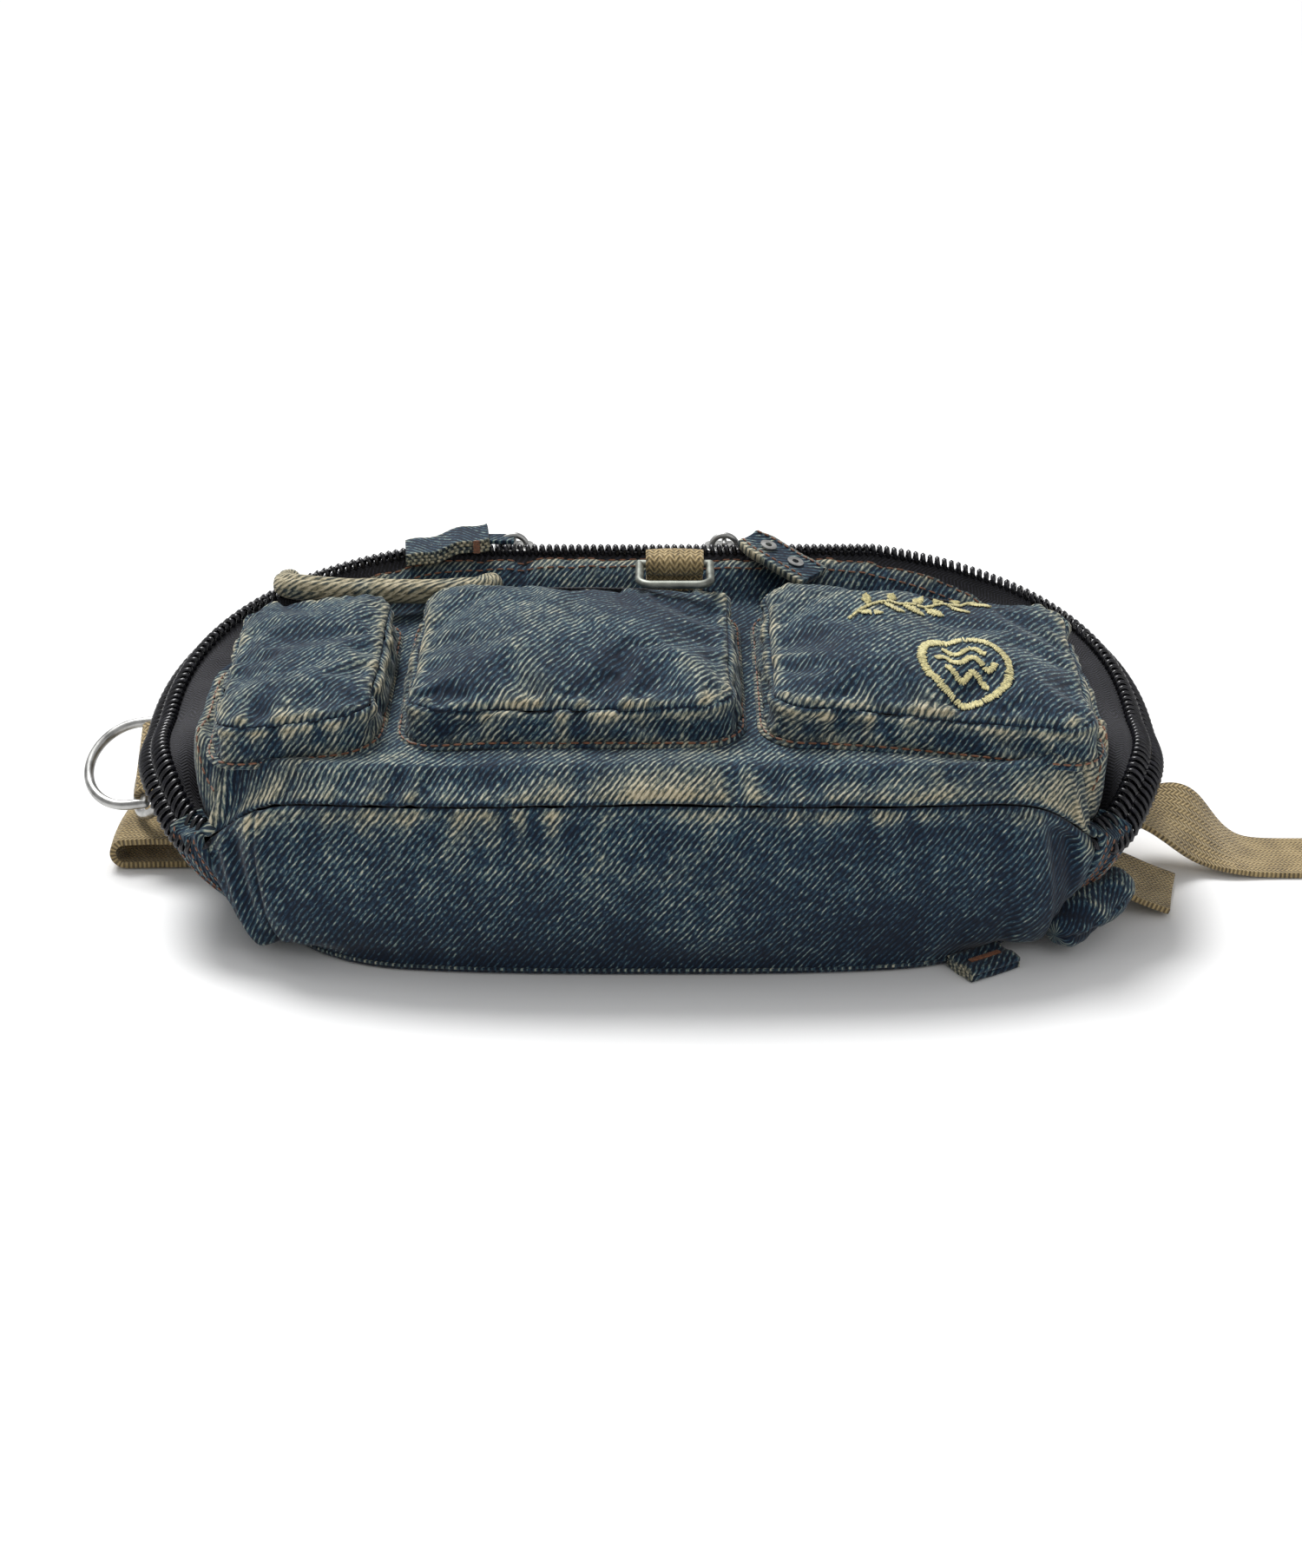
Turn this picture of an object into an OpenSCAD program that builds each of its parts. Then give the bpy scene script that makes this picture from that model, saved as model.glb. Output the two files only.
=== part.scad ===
// Denim waist pack with three cargo pockets, lying on its back panel.
// +X is the wearer's right-hand end as seen here, +Y is the pack's top edge, +Z is its front.
// The origin is the centre of the flat back panel.

/* [Body] */
// Width over the main zip, end to end
body_w = 302; // [280:1:363]
// Depth from the bottom seam to the full curve of the top edge
body_d = 140; // [130:1:170]
// Distance from the middle line to the straight top run of the main zip
top_run_y = 66; // [62:0.5:69]
// Squareness of the corners at the bottom seam
corner_power_near = 3; // [2.6:0.1:3.6]
// Squareness of the corners at the top edge
corner_power_far = 2.7; // [2.4:0.1:3.2]
// Height of the middle of the bottom seam
seam_h = 58; // [50:0.5:70]
// Height of the zip at the two ends of the pack
end_h = 50; // [44:0.5:62]
// Height of the zip along the top run
crest_h = 84; // [76:0.5:100]
// How far the two lower corners sag below the seam
corner_sag = 17; // [8:0.5:20]
// Height of the front panel at the middle of the pack
panel_h = 71; // [66:0.5:80]
// Rise of the front panel towards the top edge, per millimetre
panel_rise = 0.08; // [0.04:0.01:0.12]
// How far the back panel's edge lies inside the zip line at the ends and the top
back_inset = 20; // [12:0.5:28]
// How far the back panel's edge lies inside the bottom seam
back_inset_near = 4; // [2:0.5:8]

/* [Fabric] */
// Thickness of the padded back panel
back_t = 4; // [3:0.1:8]
// Thickness of a gusset, denim and lining together
wall_t = 2.4; // [1.8:0.1:4]
// Thickness of the front panel, denim and lining together
panel_t = 2.4; // [1.8:0.1:4]
// Thickness of the belt webbing
web_t = 1.9; // [1.4:0.1:2.6]
// Gap between pieces that move past each other
run_gap = 0.3; // [0.25:0.05:0.6]

/* [Main zip] */
// Width of one half of the zip's coil
coil_w = 5; // [4:0.1:6]
// Thickness of the zip's coil
coil_t = 3.4; // [2.6:0.1:4.4]
// Width of tape that shows beside the coil
tape_w = 9; // [6:0.5:14]
// Thickness of the zip tape
tape_t = 0.9; // [0.6:0.1:1.4]
// Length of a slider
slider_l = 13; // [11:0.5:15]
// Thickness of a slider's plates
plate_t = 1.1; // [0.9:0.1:1.6]
// Place of the left slider along the top run
slider_left_x = -45; // [-46:0.5:-40]
// Place of the right slider along the top run
slider_right_x = 24; // [22:0.5:30]
// Radius of a slider's pull pin
pin_r = 0.9; // [0.7:0.05:1.2]

/* [Pockets] */
// Width of the left pocket
pocket_w_left = 52; // [44:1:58]
// Width of the centre pocket
pocket_w_centre = 102; // [80:1:112]
// Width of the right pocket
pocket_w_right = 102; // [80:1:112]
// Gap between neighbouring pockets
pocket_gap = 4.5; // [4:0.5:10]
// Left edge of the left pocket from the middle of the pack
pockets_left = -131; // [-134:0.5:-124]
// Length of a pocket from its lower to its upper edge
pocket_l = 88; // [70:1:94]
// Place of the pockets' middle from the middle of the pack
pocket_y = -6; // [-10:0.5:-2]
// Depth of a pocket
pocket_h = 14.5; // [12:0.5:20]
// Thickness of a pocket's cloth
pocket_t = 1.6; // [1.2:0.1:2.4]
// Corner radius of a pocket
pocket_r = 13; // [6:0.5:18]
// Width of the sewn flange around a pocket
flange_w = 1.8; // [1:0.1:2]
// Height of a pocket's zipped mouth
mouth_h = 5; // [4.4:0.1:6]

/* [Rings and straps] */
// Width of the belt webbing
belt_w = 26; // [24:0.5:32]
// Radius of the D rings' wire
wire_r = 1.6; // [1.2:0.1:2]
// Room for the belt inside a D ring
ring_room = 2; // [1:0.5:6]
// Gap between the two D rings' bars, centre to centre
ring_pitch = 5.4; // [5:0.1:7]
// Height of the D rings' bars above the rest face
ring_z = 32; // [31:0.5:36]
// Outer radius of the rolled free end of the belt
roll_r = 21; // [15:0.5:24]
// Width of the small webbing loop on the centre pocket
loop_w = 18; // [14:0.5:19]
// Radius of the accessory ring's wire
acc_wire_r = 1.3; // [1:0.1:1.6]
// Length of a denim zip pull
pull_l = 34; // [28:0.5:38]
// Width of a denim zip pull
pull_w = 15; // [10:0.5:16]
// Thickness of a denim zip pull
pull_t = 3.6; // [2.4:0.1:3.8]
// Radius of the rolled grab handle
handle_r = 4; // [3:0.1:4.2]
// Length of the grab handle
handle_l = 76; // [72:1:80]

/* [Hidden] */

DENIM = "#2c4560";
WEBBING = "#b39a6b";
BLACK = "#17171d";
STEEL = "#a8a8a6";
WORN = "#a39a80";

half_w = body_w / 2;
half_d = body_d / 2;
// Angles around the rim, counted from the +X end: the zip runs from one lower corner to the other.
sag_at = 32;
sag_width = 13;
// The zip's tapes give way to the sewn bottom seam over this many degrees.
zip_fade = 5;
zip_from = -sag_at;
zip_to = 180 + sag_at;
step = 4;
// Curve of the rim's climb from the ends to the top run: 1 is straight.
rim_climb = 1.4;
// The front panel climbs from the rim to its full height over this distance.
climb = 10;

// Gap between sewn pieces that only touch, and under the pockets, where the panel bulges a little.
seat = 0.1;
pocket_seat = 0.3;

function clamp01(v) = min(1, max(0, v));
function smooth(v) = let(c = clamp01(v)) c * c * (3 - 2 * c);
function signed_power(v, p) = sign(v) * pow(abs(v), p);
function power_at(t) = sin(t) < 0 ? corner_power_near : corner_power_far;
function rim_x(t, inset) = (half_w - inset) * signed_power(cos(t), 2 / power_at(t));
function rim_y(t, inset) =
  min((half_d - inset) * signed_power(sin(t), 2 / power_at(t)), top_run_y - inset);
// Angle from the pack's nearer end, 0 at the end and 90 at the middle of the bottom seam.
function below_end(t) = asin(clamp01(-sin(t)));
function zipped(t) = 1 - smooth((below_end(t) - sag_at) / zip_fade);
function rim_z(t) = sin(t) >= 0
  ? end_h + (crest_h - end_h) * pow(rim_y(t, 0) / top_run_y, rim_climb)
  : end_h + (seam_h - end_h) * below_end(t) / 90
    - corner_sag * exp(-pow((below_end(t) - sag_at) / sag_width, 2));
function panel_z(y) = panel_h + panel_rise * y;
// A point on the front, a distance inside the rim.
function front_point(t, inset, drop) = let(
    x = rim_x(t, inset), y = rim_y(t, inset),
    k = smooth((inset - climb * zipped(t)) / climb))
  [x, y, rim_z(t) * (1 - k) + panel_z(y) * k - drop];
// A point on the gusset, a distance below the rim. The gusset draws in towards the back panel.
function back_edge(t) = back_inset + (back_inset_near - back_inset) * smooth((below_end(t) - 28) / 42);
function draw_in(t, z) = back_edge(t) * pow(clamp01(1 - (z - back_t) / (rim_z(t) - back_t)), 1.6);
function gusset_point(t, z, depth) = let(inset = draw_in(t, z) + depth)
  [rim_x(t, inset), rim_y(t, inset), z];

function angles(from, to) = let(n = ceil((to - from) / step)) [for (i = [0:n]) from + (to - from) * i / n];

// A closed sheet between two grids of points with equal rows and columns.
module sheet(outer, inner) {
  rows = len(outer);
  cols = len(outer[0]);
  size = rows * cols;
  function at(r, c, side) = side * size + r * cols + c;
  points = [for (grid = [outer, inner]) for (row = grid) for (p = row) p];
  faces = concat(
    [for (r = [0:rows - 2]) for (c = [0:cols - 2]) for (half = [0, 1]) half == 0
      ? [at(r, c, 0), at(r, c + 1, 0), at(r + 1, c + 1, 0)]
      : [at(r, c, 0), at(r + 1, c + 1, 0), at(r + 1, c, 0)]],
    [for (r = [0:rows - 2]) for (c = [0:cols - 2]) for (half = [0, 1]) half == 0
      ? [at(r, c, 1), at(r + 1, c + 1, 1), at(r, c + 1, 1)]
      : [at(r, c, 1), at(r + 1, c, 1), at(r + 1, c + 1, 1)]],
    [for (r = [0:rows - 2]) for (half = [0, 1]) half == 0
      ? [at(r, 0, 0), at(r + 1, 0, 0), at(r + 1, 0, 1)]
      : [at(r, 0, 0), at(r + 1, 0, 1), at(r, 0, 1)]],
    [for (r = [0:rows - 2]) for (half = [0, 1]) let(e = cols - 1) half == 0
      ? [at(r, e, 0), at(r + 1, e, 1), at(r + 1, e, 0)]
      : [at(r, e, 0), at(r, e, 1), at(r + 1, e, 1)]],
    [for (c = [0:cols - 2]) for (half = [0, 1]) half == 0
      ? [at(0, c, 0), at(0, c, 1), at(0, c + 1, 1)]
      : [at(0, c, 0), at(0, c + 1, 1), at(0, c + 1, 0)]],
    [for (c = [0:cols - 2]) for (half = [0, 1]) let(e = rows - 1) half == 0
      ? [at(e, c, 0), at(e, c + 1, 1), at(e, c, 1)]
      : [at(e, c, 0), at(e, c + 1, 0), at(e, c + 1, 1)]]);
  polyhedron(points, faces);
}

// ---- Back panel and gussets ----

module back_panel() {
  color(DENIM) linear_extrude(back_t)
    polygon([for (t = angles(0, 360 - step)) [rim_x(t, back_edge(t)), rim_y(t, back_edge(t))]]);
}

// Where the gusset's cloth stops below the rim: under the zip, or at the hinge seam.
function gusset_top_z(t) = rim_z(t) - panel_t - run_gap
  - (coil_w + tape_w + coil_t / 2 - panel_t) * zipped(t);
gusset_rows = 6;
module gusset(from, to) {
  function grid(depth) = [for (t = angles(from, to)) [for (i = [0:gusset_rows])
    gusset_point(t, back_t + (gusset_top_z(t) - back_t) * i / gusset_rows, depth)]];
  color(DENIM) sheet(grid(0), grid(wall_t));
}
left_edge_angle = 136;
right_edge_angle = 44;
module gusset_bottom() gusset(zip_to, 360 + zip_from);
module gusset_left() gusset(left_edge_angle, zip_to);
module gusset_right() gusset(zip_from, right_edge_angle);
module gusset_top() gusset(right_edge_angle, left_edge_angle);

// ---- Main zip: each half is a coil along the rim with its tape beside it ----

module zip_back(near, far, thick) {
  function grid(depth) = [for (t = angles(zip_from, zip_to)) [for (q = [far, near])
    gusset_point(t, rim_z(t) - q, depth)]];
  color(BLACK) sheet(grid(0), grid(thick));
}
module zip_front(near, far, thick) {
  function grid(drop) = [for (t = angles(zip_from, zip_to)) [for (q = [near, far])
    front_point(t, q, drop)]];
  color(BLACK) sheet(grid(0), grid(thick));
}
module zip_coil_back() zip_back(run_gap / 2 + coil_t / 2, run_gap / 2 + coil_t / 2 + coil_w, coil_t);
module zip_tape_back() zip_back(run_gap / 2 + coil_t / 2 + coil_w, coil_w + tape_w + coil_t / 2, tape_t);
module zip_coil_front() translate([0, 0, coil_t / 2]) zip_front(run_gap, coil_w, coil_t);
module zip_tape_front() zip_front(coil_w, coil_w + tape_w, tape_t);

// Places a piece flat against the outside of the gusset, at an angle around the pack and a height.
module against_gusset(t, z, stand_off) {
  p = gusset_point(t, z, -stand_off);
  ahead = gusset_point(t + 1, z, -stand_off);
  behind = gusset_point(t - 1, z, -stand_off);
  translate(p) rotate([0, 0, atan2(ahead[1] - behind[1], ahead[0] - behind[0])]) children();
}
// The denim tab that closes each end of the zip, at the lower corners.
end_tab_w = 17;
end_tab_t = 3;
end_tab_h = 20;
end_tab_z = 24;
module zip_end(t) color(DENIM) against_gusset(t, end_tab_z + end_tab_h / 2, end_tab_t / 2 + seat)
  cube([end_tab_w, end_tab_t, end_tab_h], center = true);
module zip_end_left() zip_end(zip_to);
module zip_end_right() zip_end(zip_from);

// ---- Front panel, hinged on the bottom seam ----

panel_rows = 7;
panel_last_inset = 60;
function panel_edge(t) = run_gap / 2 + (coil_w + tape_w) * zipped(t);
module front_panel() {
  turn = angles(0, 360);
  function ring(r, drop) = [for (i = [0:len(turn) - 2]) let(t = turn[i], e = panel_edge(t))
    front_point(t, e + (panel_last_inset - e) * pow(r / panel_rows, 1.5), drop)];
  n = len(turn) - 1;
  rings = panel_rows + 1;
  points = [for (drop = [0, panel_t]) for (r = [0:panel_rows]) for (p = ring(r, drop)) p];
  function at(r, i, side) = side * rings * n + r * n + i % n;
  faces = concat(
    [for (r = [0:panel_rows - 1]) for (i = [0:n - 1]) for (half = [0, 1]) half == 0
      ? [at(r, i, 0), at(r + 1, i + 1, 0), at(r, i + 1, 0)]
      : [at(r, i, 0), at(r + 1, i, 0), at(r + 1, i + 1, 0)]],
    [for (r = [0:panel_rows - 1]) for (i = [0:n - 1]) for (half = [0, 1]) half == 0
      ? [at(r, i, 1), at(r, i + 1, 1), at(r + 1, i + 1, 1)]
      : [at(r, i, 1), at(r + 1, i + 1, 1), at(r + 1, i, 1)]],
    [for (i = [0:n - 1]) for (half = [0, 1]) half == 0
      ? [at(0, i, 0), at(0, i + 1, 0), at(0, i + 1, 1)]
      : [at(0, i, 0), at(0, i + 1, 1), at(0, i, 1)]],
    [[for (i = [0:n - 1]) at(panel_rows, n - 1 - i, 0)]],
    [[for (i = [0:n - 1]) at(panel_rows, i, 1)]]);
  color(DENIM) polyhedron(points, faces);
}

// ---- Pockets: a gusset with a zipped mouth in its upper side, a face, and a sewn flange ----

slope = atan(panel_rise);
centre_left = pockets_left + pocket_w_left + pocket_gap;
right_left = centre_left + pocket_w_centre + pocket_gap;
pocket_x_left = pockets_left + pocket_w_left / 2;
pocket_x_centre = centre_left + pocket_w_centre / 2;
pocket_x_right = right_left + pocket_w_right / 2;
mouth_margin = 15;
mouth_z = pocket_h * 0.5;

module on_panel(x) translate([x, pocket_y, panel_z(pocket_y) + pocket_seat]) rotate([slope, 0, 0]) children();
module rounded(w, l, r) {
  rx = min(r, w / 2 - 1);
  union() {
    square([w - 2 * rx, l], center = true);
    square([w, l - 2 * rx], center = true);
    for (sx = [-1, 1]) for (sy = [-1, 1])
      translate([sx * (w / 2 - rx), sy * (l / 2 - rx)]) circle(rx, $fn = 48);
  }
}
module pocket_gusset(x, w) color(DENIM) on_panel(x) difference() {
  linear_extrude(pocket_h - pocket_t) rounded(w, pocket_l, pocket_r);
  translate([0, 0, -1]) linear_extrude(pocket_h + 1)
    rounded(w - 2 * pocket_t, pocket_l - 2 * pocket_t, pocket_r - pocket_t);
  translate([0, pocket_l / 2, mouth_z]) cube([w - 2 * mouth_margin, 4 * pocket_t, mouth_h], center = true);
}
module pocket_face(x, w) color(DENIM) on_panel(x)
  translate([0, 0, pocket_h - pocket_t]) linear_extrude(pocket_t) rounded(w, pocket_l, pocket_r);
module pocket_flange(x, w) color(WORN) on_panel(x) linear_extrude(pocket_t) difference() {
  rounded(w + 2 * flange_w, pocket_l + 2 * flange_w, pocket_r + flange_w);
  rounded(w, pocket_l, pocket_r);
}
module pocket_zip(x, w) color(BLACK) on_panel(x)
  translate([0, pocket_l / 2 - pocket_t / 2, mouth_z]) cube([w - 2 * mouth_margin, pocket_t, mouth_h], center = true);
pocket_slider_l = 9;
pocket_slider_h = 5.4;
pocket_slider_t = 1.6;
knob_r = 1.2;
knob_h = 0.7;
module pocket_slider(x, w) color(STEEL) on_panel(x)
  translate([-w / 2 + mouth_margin + pocket_slider_l / 2 + 1, pocket_l / 2 + run_gap, mouth_z]) {
    translate([-pocket_slider_l / 2, 0, -pocket_slider_h / 2])
      cube([pocket_slider_l, pocket_slider_t, pocket_slider_h]);
    translate([0, pocket_slider_t, 0]) rotate([-90, 0, 0]) cylinder(h = knob_h, r = knob_r, $fn = 32);
  }
module pocket_left_gusset() pocket_gusset(pocket_x_left, pocket_w_left);
module pocket_left_face() pocket_face(pocket_x_left, pocket_w_left);
module pocket_left_flange() pocket_flange(pocket_x_left, pocket_w_left);
module pocket_left_zip() pocket_zip(pocket_x_left, pocket_w_left);
module pocket_left_slider() pocket_slider(pocket_x_left, pocket_w_left);
module pocket_centre_gusset() pocket_gusset(pocket_x_centre, pocket_w_centre);
module pocket_centre_face() pocket_face(pocket_x_centre, pocket_w_centre);
module pocket_centre_flange() pocket_flange(pocket_x_centre, pocket_w_centre);
module pocket_centre_zip() pocket_zip(pocket_x_centre, pocket_w_centre);
module pocket_centre_slider() pocket_slider(pocket_x_centre, pocket_w_centre);
module pocket_right_gusset() pocket_gusset(pocket_x_right, pocket_w_right);
module pocket_right_face() pocket_face(pocket_x_right, pocket_w_right);
module pocket_right_flange() pocket_flange(pocket_x_right, pocket_w_right);
module pocket_right_zip() pocket_zip(pocket_x_right, pocket_w_right);
module pocket_right_slider() pocket_slider(pocket_x_right, pocket_w_right);

// ---- Webbing: a strap of even thickness along a path drawn in one plane ----

function unit(v) = v / norm(v);
function normal_at(path, i) = let(
    a = path[max(0, i - 1)], b = path[min(len(path) - 1, i + 1)], d = unit(b - a)) [-d[1], d[0]];
module strap_outline(path, t) polygon(concat(
  [for (i = [0:len(path) - 1]) path[i] + normal_at(path, i) * t / 2],
  [for (i = [len(path) - 1:-1:0]) path[i] - normal_at(path, i) * t / 2]));
// A strap whose path runs in X and Z and whose width runs along Y from y0.
module strap_along_y(path, w, y0) translate([0, y0 + w, 0]) rotate([90, 0, 0])
  linear_extrude(w) strap_outline(path, web_t);
function arc(c, r, from, to, n) = [for (i = [0:n]) let(a = from + (to - from) * i / n)
  [c[0] + r * cos(a), c[1] + r * sin(a)]];

// The left belt end, rolled so that its near edge is lower: down from the gusset, round the bars of
// both D rings, and back on itself.
belt_y = 17;
belt_roll = 33;
inner_bar_x = -half_w - 4;
outer_bar_x = inner_bar_x - ring_pitch;
loop_r = wire_r + run_gap + web_t / 2;
belt_root_z = end_h - 5;
belt_root_t = 180 - asin(pow(belt_y / half_d, corner_power_far / 2));
module in_belt_end() translate([0, belt_y, ring_z]) rotate([belt_roll, 0, 0]) children();
// The way from the gusset down to the rings, in the belt end's own frame.
belt_fall = [[-half_w + 18, 17], [-half_w + 8, 14.5], [inner_bar_x + 6.5, 8.5], [inner_bar_x + 2, loop_r + 0.5]];
// The webbing is cut off where it meets the gusset.
root_cut = [100, 60, 100];
module belt_left() color(WEBBING) difference() {
  in_belt_end() strap_along_y(concat(belt_fall, arc([outer_bar_x, 0], loop_r, 90, 270, 12),
    [[inner_bar_x, -loop_r], [inner_bar_x + 3.4, 0.4 - loop_r]]), belt_w, -belt_w / 2);
  against_gusset(belt_root_t, belt_root_z, 4 * seat)
    translate([-root_cut[0] / 2, 0, -root_cut[2] / 2]) cube(root_cut);
}
// The sewn end curls under the rings and lies along the surface that the pack lies on.
tail_lift = 0.2 + web_t / 2;
tail_curl_r = 4.2;
tail_reach = 8;
tail_top_end = 4;
tail_root = 12;
module belt_left_tail() color(WEBBING) strap_along_y(concat(
    [[inner_bar_x + tail_top_end, tail_lift + 2 * tail_curl_r + 0.6]],
    arc([outer_bar_x - tail_reach, tail_lift + tail_curl_r], tail_curl_r, 90, 270, 9),
    [[inner_bar_x + tail_root, tail_lift]]), belt_w, belt_y - belt_w / 2);

// The right belt runs down to the surface, and its free end is rolled up for storage.
strap_lift = 0.1 + web_t / 2;
right_y = -3;
belt_right_z = 21;
function end_face_x(z) = rim_x(0, draw_in(0, z + web_t)) + seat;
roll_x = half_w + 86;
roll_core_r = 4;
// The fall from the pack's end to the surface: distances past the end, and heights.
belt_right_fall = [[2, 19.5], [12, 15], [24, 8], [36, 3], [48, strap_lift]];
module belt_right() color(WEBBING) difference() {
  strap_along_y(concat([[end_face_x(belt_right_z), belt_right_z]], [for (p = belt_right_fall) [half_w + p[0], p[1]]],
    [[roll_x - 6, strap_lift], [roll_x, strap_lift]]), belt_w, right_y);
  translate([roll_x, right_y - 1, roll_r + strap_lift]) rotate([-90, 0, 0])
    cylinder(h = belt_w + 2, r = roll_r + 0.05, $fn = 96);
}
module belt_right_roll() color(WEBBING)
  translate([roll_x, right_y, roll_r + strap_lift]) rotate([-90, 0, 0]) difference() {
    cylinder(h = belt_w, r = roll_r, $fn = 96);
    translate([0, 0, -1]) cylinder(h = belt_w + 2, r = roll_core_r, $fn = 48);
  }
// The short webbing end sewn under the right corner.
belt_fold_z = 11;
belt_fold_y = -30;
belt_fold_fall = [[-6, 9], [4, 4.5], [12, 1.4]];
module belt_right_fold() color(WEBBING)
  strap_along_y(concat([[end_face_x(belt_fold_z), belt_fold_z]], [for (p = belt_fold_fall) [half_w + p[0], p[1]]]),
    belt_w, belt_fold_y);
// Rolled denim at the right lower corner.
corner_roll_l = 34;
corner_roll_r = 8;
corner_roll_at = 322;
module corner_roll_right() color(DENIM) against_gusset(corner_roll_at, corner_roll_r + 2, corner_roll_r + 1.5)
  rotate([0, 90, 0]) cylinder(h = corner_roll_l, r = corner_roll_r, center = true, $fn = 48);
// Folded denim loop under the lower edge.
bottom_loop_w = 18;
bottom_loop_l = 13;
bottom_loop_h = 3.6;
bottom_loop_at = 303;
loop_slit_h = 1;
module bottom_loop() color(DENIM) against_gusset(bottom_loop_at, back_t, seat) translate([0, 0, -back_t])
  rotate([90, 0, 90]) linear_extrude(bottom_loop_w, center = true) difference() {
    translate([-bottom_loop_l, 0]) square([bottom_loop_l, bottom_loop_h]);
    translate([2 - bottom_loop_l, (bottom_loop_h - loop_slit_h) / 2]) square([bottom_loop_l / 2, loop_slit_h]);
  }

// ---- Rings ----

// A wire D ring in its own frame: the bar lies along Y at the origin and the bow points to -X.
bow_r = (belt_w + ring_room) / 2 + wire_r;
leg = 5;
module wire_rod(a, b, r) {
  d = b - a;
  translate(a) rotate([0, acos(d[2] / norm(d)), atan2(d[1], d[0])]) cylinder(h = norm(d), r = r, $fn = 48);
}
module d_ring() union() {
  wire_rod([0, -bow_r, 0], [0, bow_r, 0], wire_r);
  for (s = [-1, 1]) {
    wire_rod([0, s * bow_r, 0], [-leg, s * bow_r, 0], wire_r);
    translate([0, s * bow_r, 0]) sphere(wire_r, $fn = 48);
  }
  translate([-leg, 0, 0]) rotate([0, 0, 90]) rotate_extrude(angle = 180, $fn = 96)
    translate([bow_r, 0]) circle(wire_r, $fn = 48);
}
outer_tilt = 12;
inner_tilt = 55;
module d_ring_outer() color(STEEL) in_belt_end() translate([outer_bar_x, 0, 0]) rotate([0, -outer_tilt, 0]) d_ring();
module d_ring_inner() color(STEEL) in_belt_end() translate([inner_bar_x, 0, 0]) rotate([0, -inner_tilt, 0]) d_ring();

// The accessory ring lies on the centre pocket, held at its upper bar by a short webbing loop.
acc_x = 7.5;
acc_in = [loop_w + 1.6, 13];
acc_corner = 4;
pocket_top_y = pocket_y + pocket_l / 2 * cos(slope) - pocket_h * sin(slope);
acc_bar_y = pocket_top_y - 1.5;
face_z = function(y) panel_z(pocket_y) + pocket_seat + (y - pocket_y) * tan(slope) + pocket_h / cos(slope);
acc_bar_z = face_z(acc_bar_y) + acc_wire_r + web_t + run_gap + 0.3;
module accessory_ring() color(STEEL) translate([acc_x, acc_bar_y, acc_bar_z]) rotate([slope, 0, 0]) {
  hx = acc_in[0] / 2 + acc_wire_r;
  ly = acc_in[1] + 2 * acc_wire_r;
  rod_r = acc_wire_r;
  wire_rod([-hx, 0, 0], [hx, 0, 0], rod_r);
  wire_rod([-hx + acc_corner, -ly, 0], [hx - acc_corner, -ly, 0], rod_r);
  for (s = [-1, 1]) {
    translate([s * hx, 0, 0]) sphere(rod_r, $fn = 48);
    wire_rod([s * hx, 0, 0], [s * hx, -ly + acc_corner, 0], rod_r);
    translate([s * (hx - acc_corner), -ly + acc_corner, 0]) rotate([0, 0, s > 0 ? -90 : 180])
      rotate_extrude(angle = 90, $fn = 64) translate([acc_corner, 0]) circle(rod_r, $fn = 48);
  }
}
acc_loop_r = acc_wire_r + run_gap + web_t / 2;
loop_back_y = pocket_top_y + 2.9;
module accessory_loop() color(WEBBING)
  translate([acc_x - loop_w / 2, 0, 0]) rotate([90, 0, 90]) linear_extrude(loop_w)
    strap_outline(concat(
      [[loop_back_y + 6.5, panel_z(loop_back_y + 6) + web_t / 2 + 4 * seat],
       [loop_back_y + 3.2, panel_z(loop_back_y + 6) + 2.4],
       [loop_back_y + 2.6, acc_bar_z - 5], [loop_back_y + 2.2, acc_bar_z],
       [loop_back_y + 0.6, acc_bar_z + acc_loop_r * 0.86]],
      arc([acc_bar_y, acc_bar_z], acc_loop_r, 90, 250, 10)), web_t);

// ---- Grab handle: a rolled denim tube that folds down on the front panel ----

handle_x = -85;
handle_bend_r = handle_r + 1;
handle_tilt = 25;
handle_reach = 10.2;
handle_pivot_y = top_run_y - coil_w - tape_w + 2.4;
handle_pivot_z = crest_h + handle_r;
module grab_handle() color(WORN) translate([handle_x, handle_pivot_y, handle_pivot_z]) rotate([handle_tilt, 0, 0]) {
  h = handle_l / 2 - handle_r;
  wire_rod([-h + handle_bend_r, -handle_reach, 0], [h - handle_bend_r, -handle_reach, 0], handle_r);
  for (s = [-1, 1]) {
    translate([s * (h - handle_bend_r), -handle_reach + handle_bend_r, 0]) rotate([0, 0, s > 0 ? -90 : 180])
      rotate_extrude(angle = 90, $fn = 64) translate([handle_bend_r, 0]) circle(handle_r, $fn = 48);
    wire_rod([s * h, -handle_reach + handle_bend_r, 0], [s * h, 0, 0], handle_r);
  }
}

// ---- Sliders and denim pulls ----

coil_top = crest_h + coil_t / 2;
slider_w = 2 * coil_w + 1.6;
ear_t = 1.2;
ear_in = pull_w / 2 + 0.2;
deck_z = coil_top + run_gap + plate_t;
pin_lift = 1.3;
bridge_z = deck_z + pin_r + pin_lift;
// The slider rides over the zip: a deck on top, a cheek down each side, and ears that hold the pin.
module slider(x) color(STEEL) translate([x, top_run_y, 0]) {
  translate([-slider_l / 2, -slider_w / 2, deck_z - plate_t]) cube([slider_l, slider_w, plate_t]);
  for (s = [-1, 1]) translate([-ear_t * 2, s * (slider_w / 2 - ear_t / 2) - ear_t / 2, deck_z - 0.01])
    cube([ear_t * 4, ear_t, bridge_z - deck_z + pin_r + 0.5]);
  wire_rod([0, -slider_w / 2 + ear_t, bridge_z], [0, slider_w / 2 - ear_t, bridge_z], pin_r);
}
module slider_left() slider(slider_left_x);
module slider_right() slider(slider_right_x);

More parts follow.
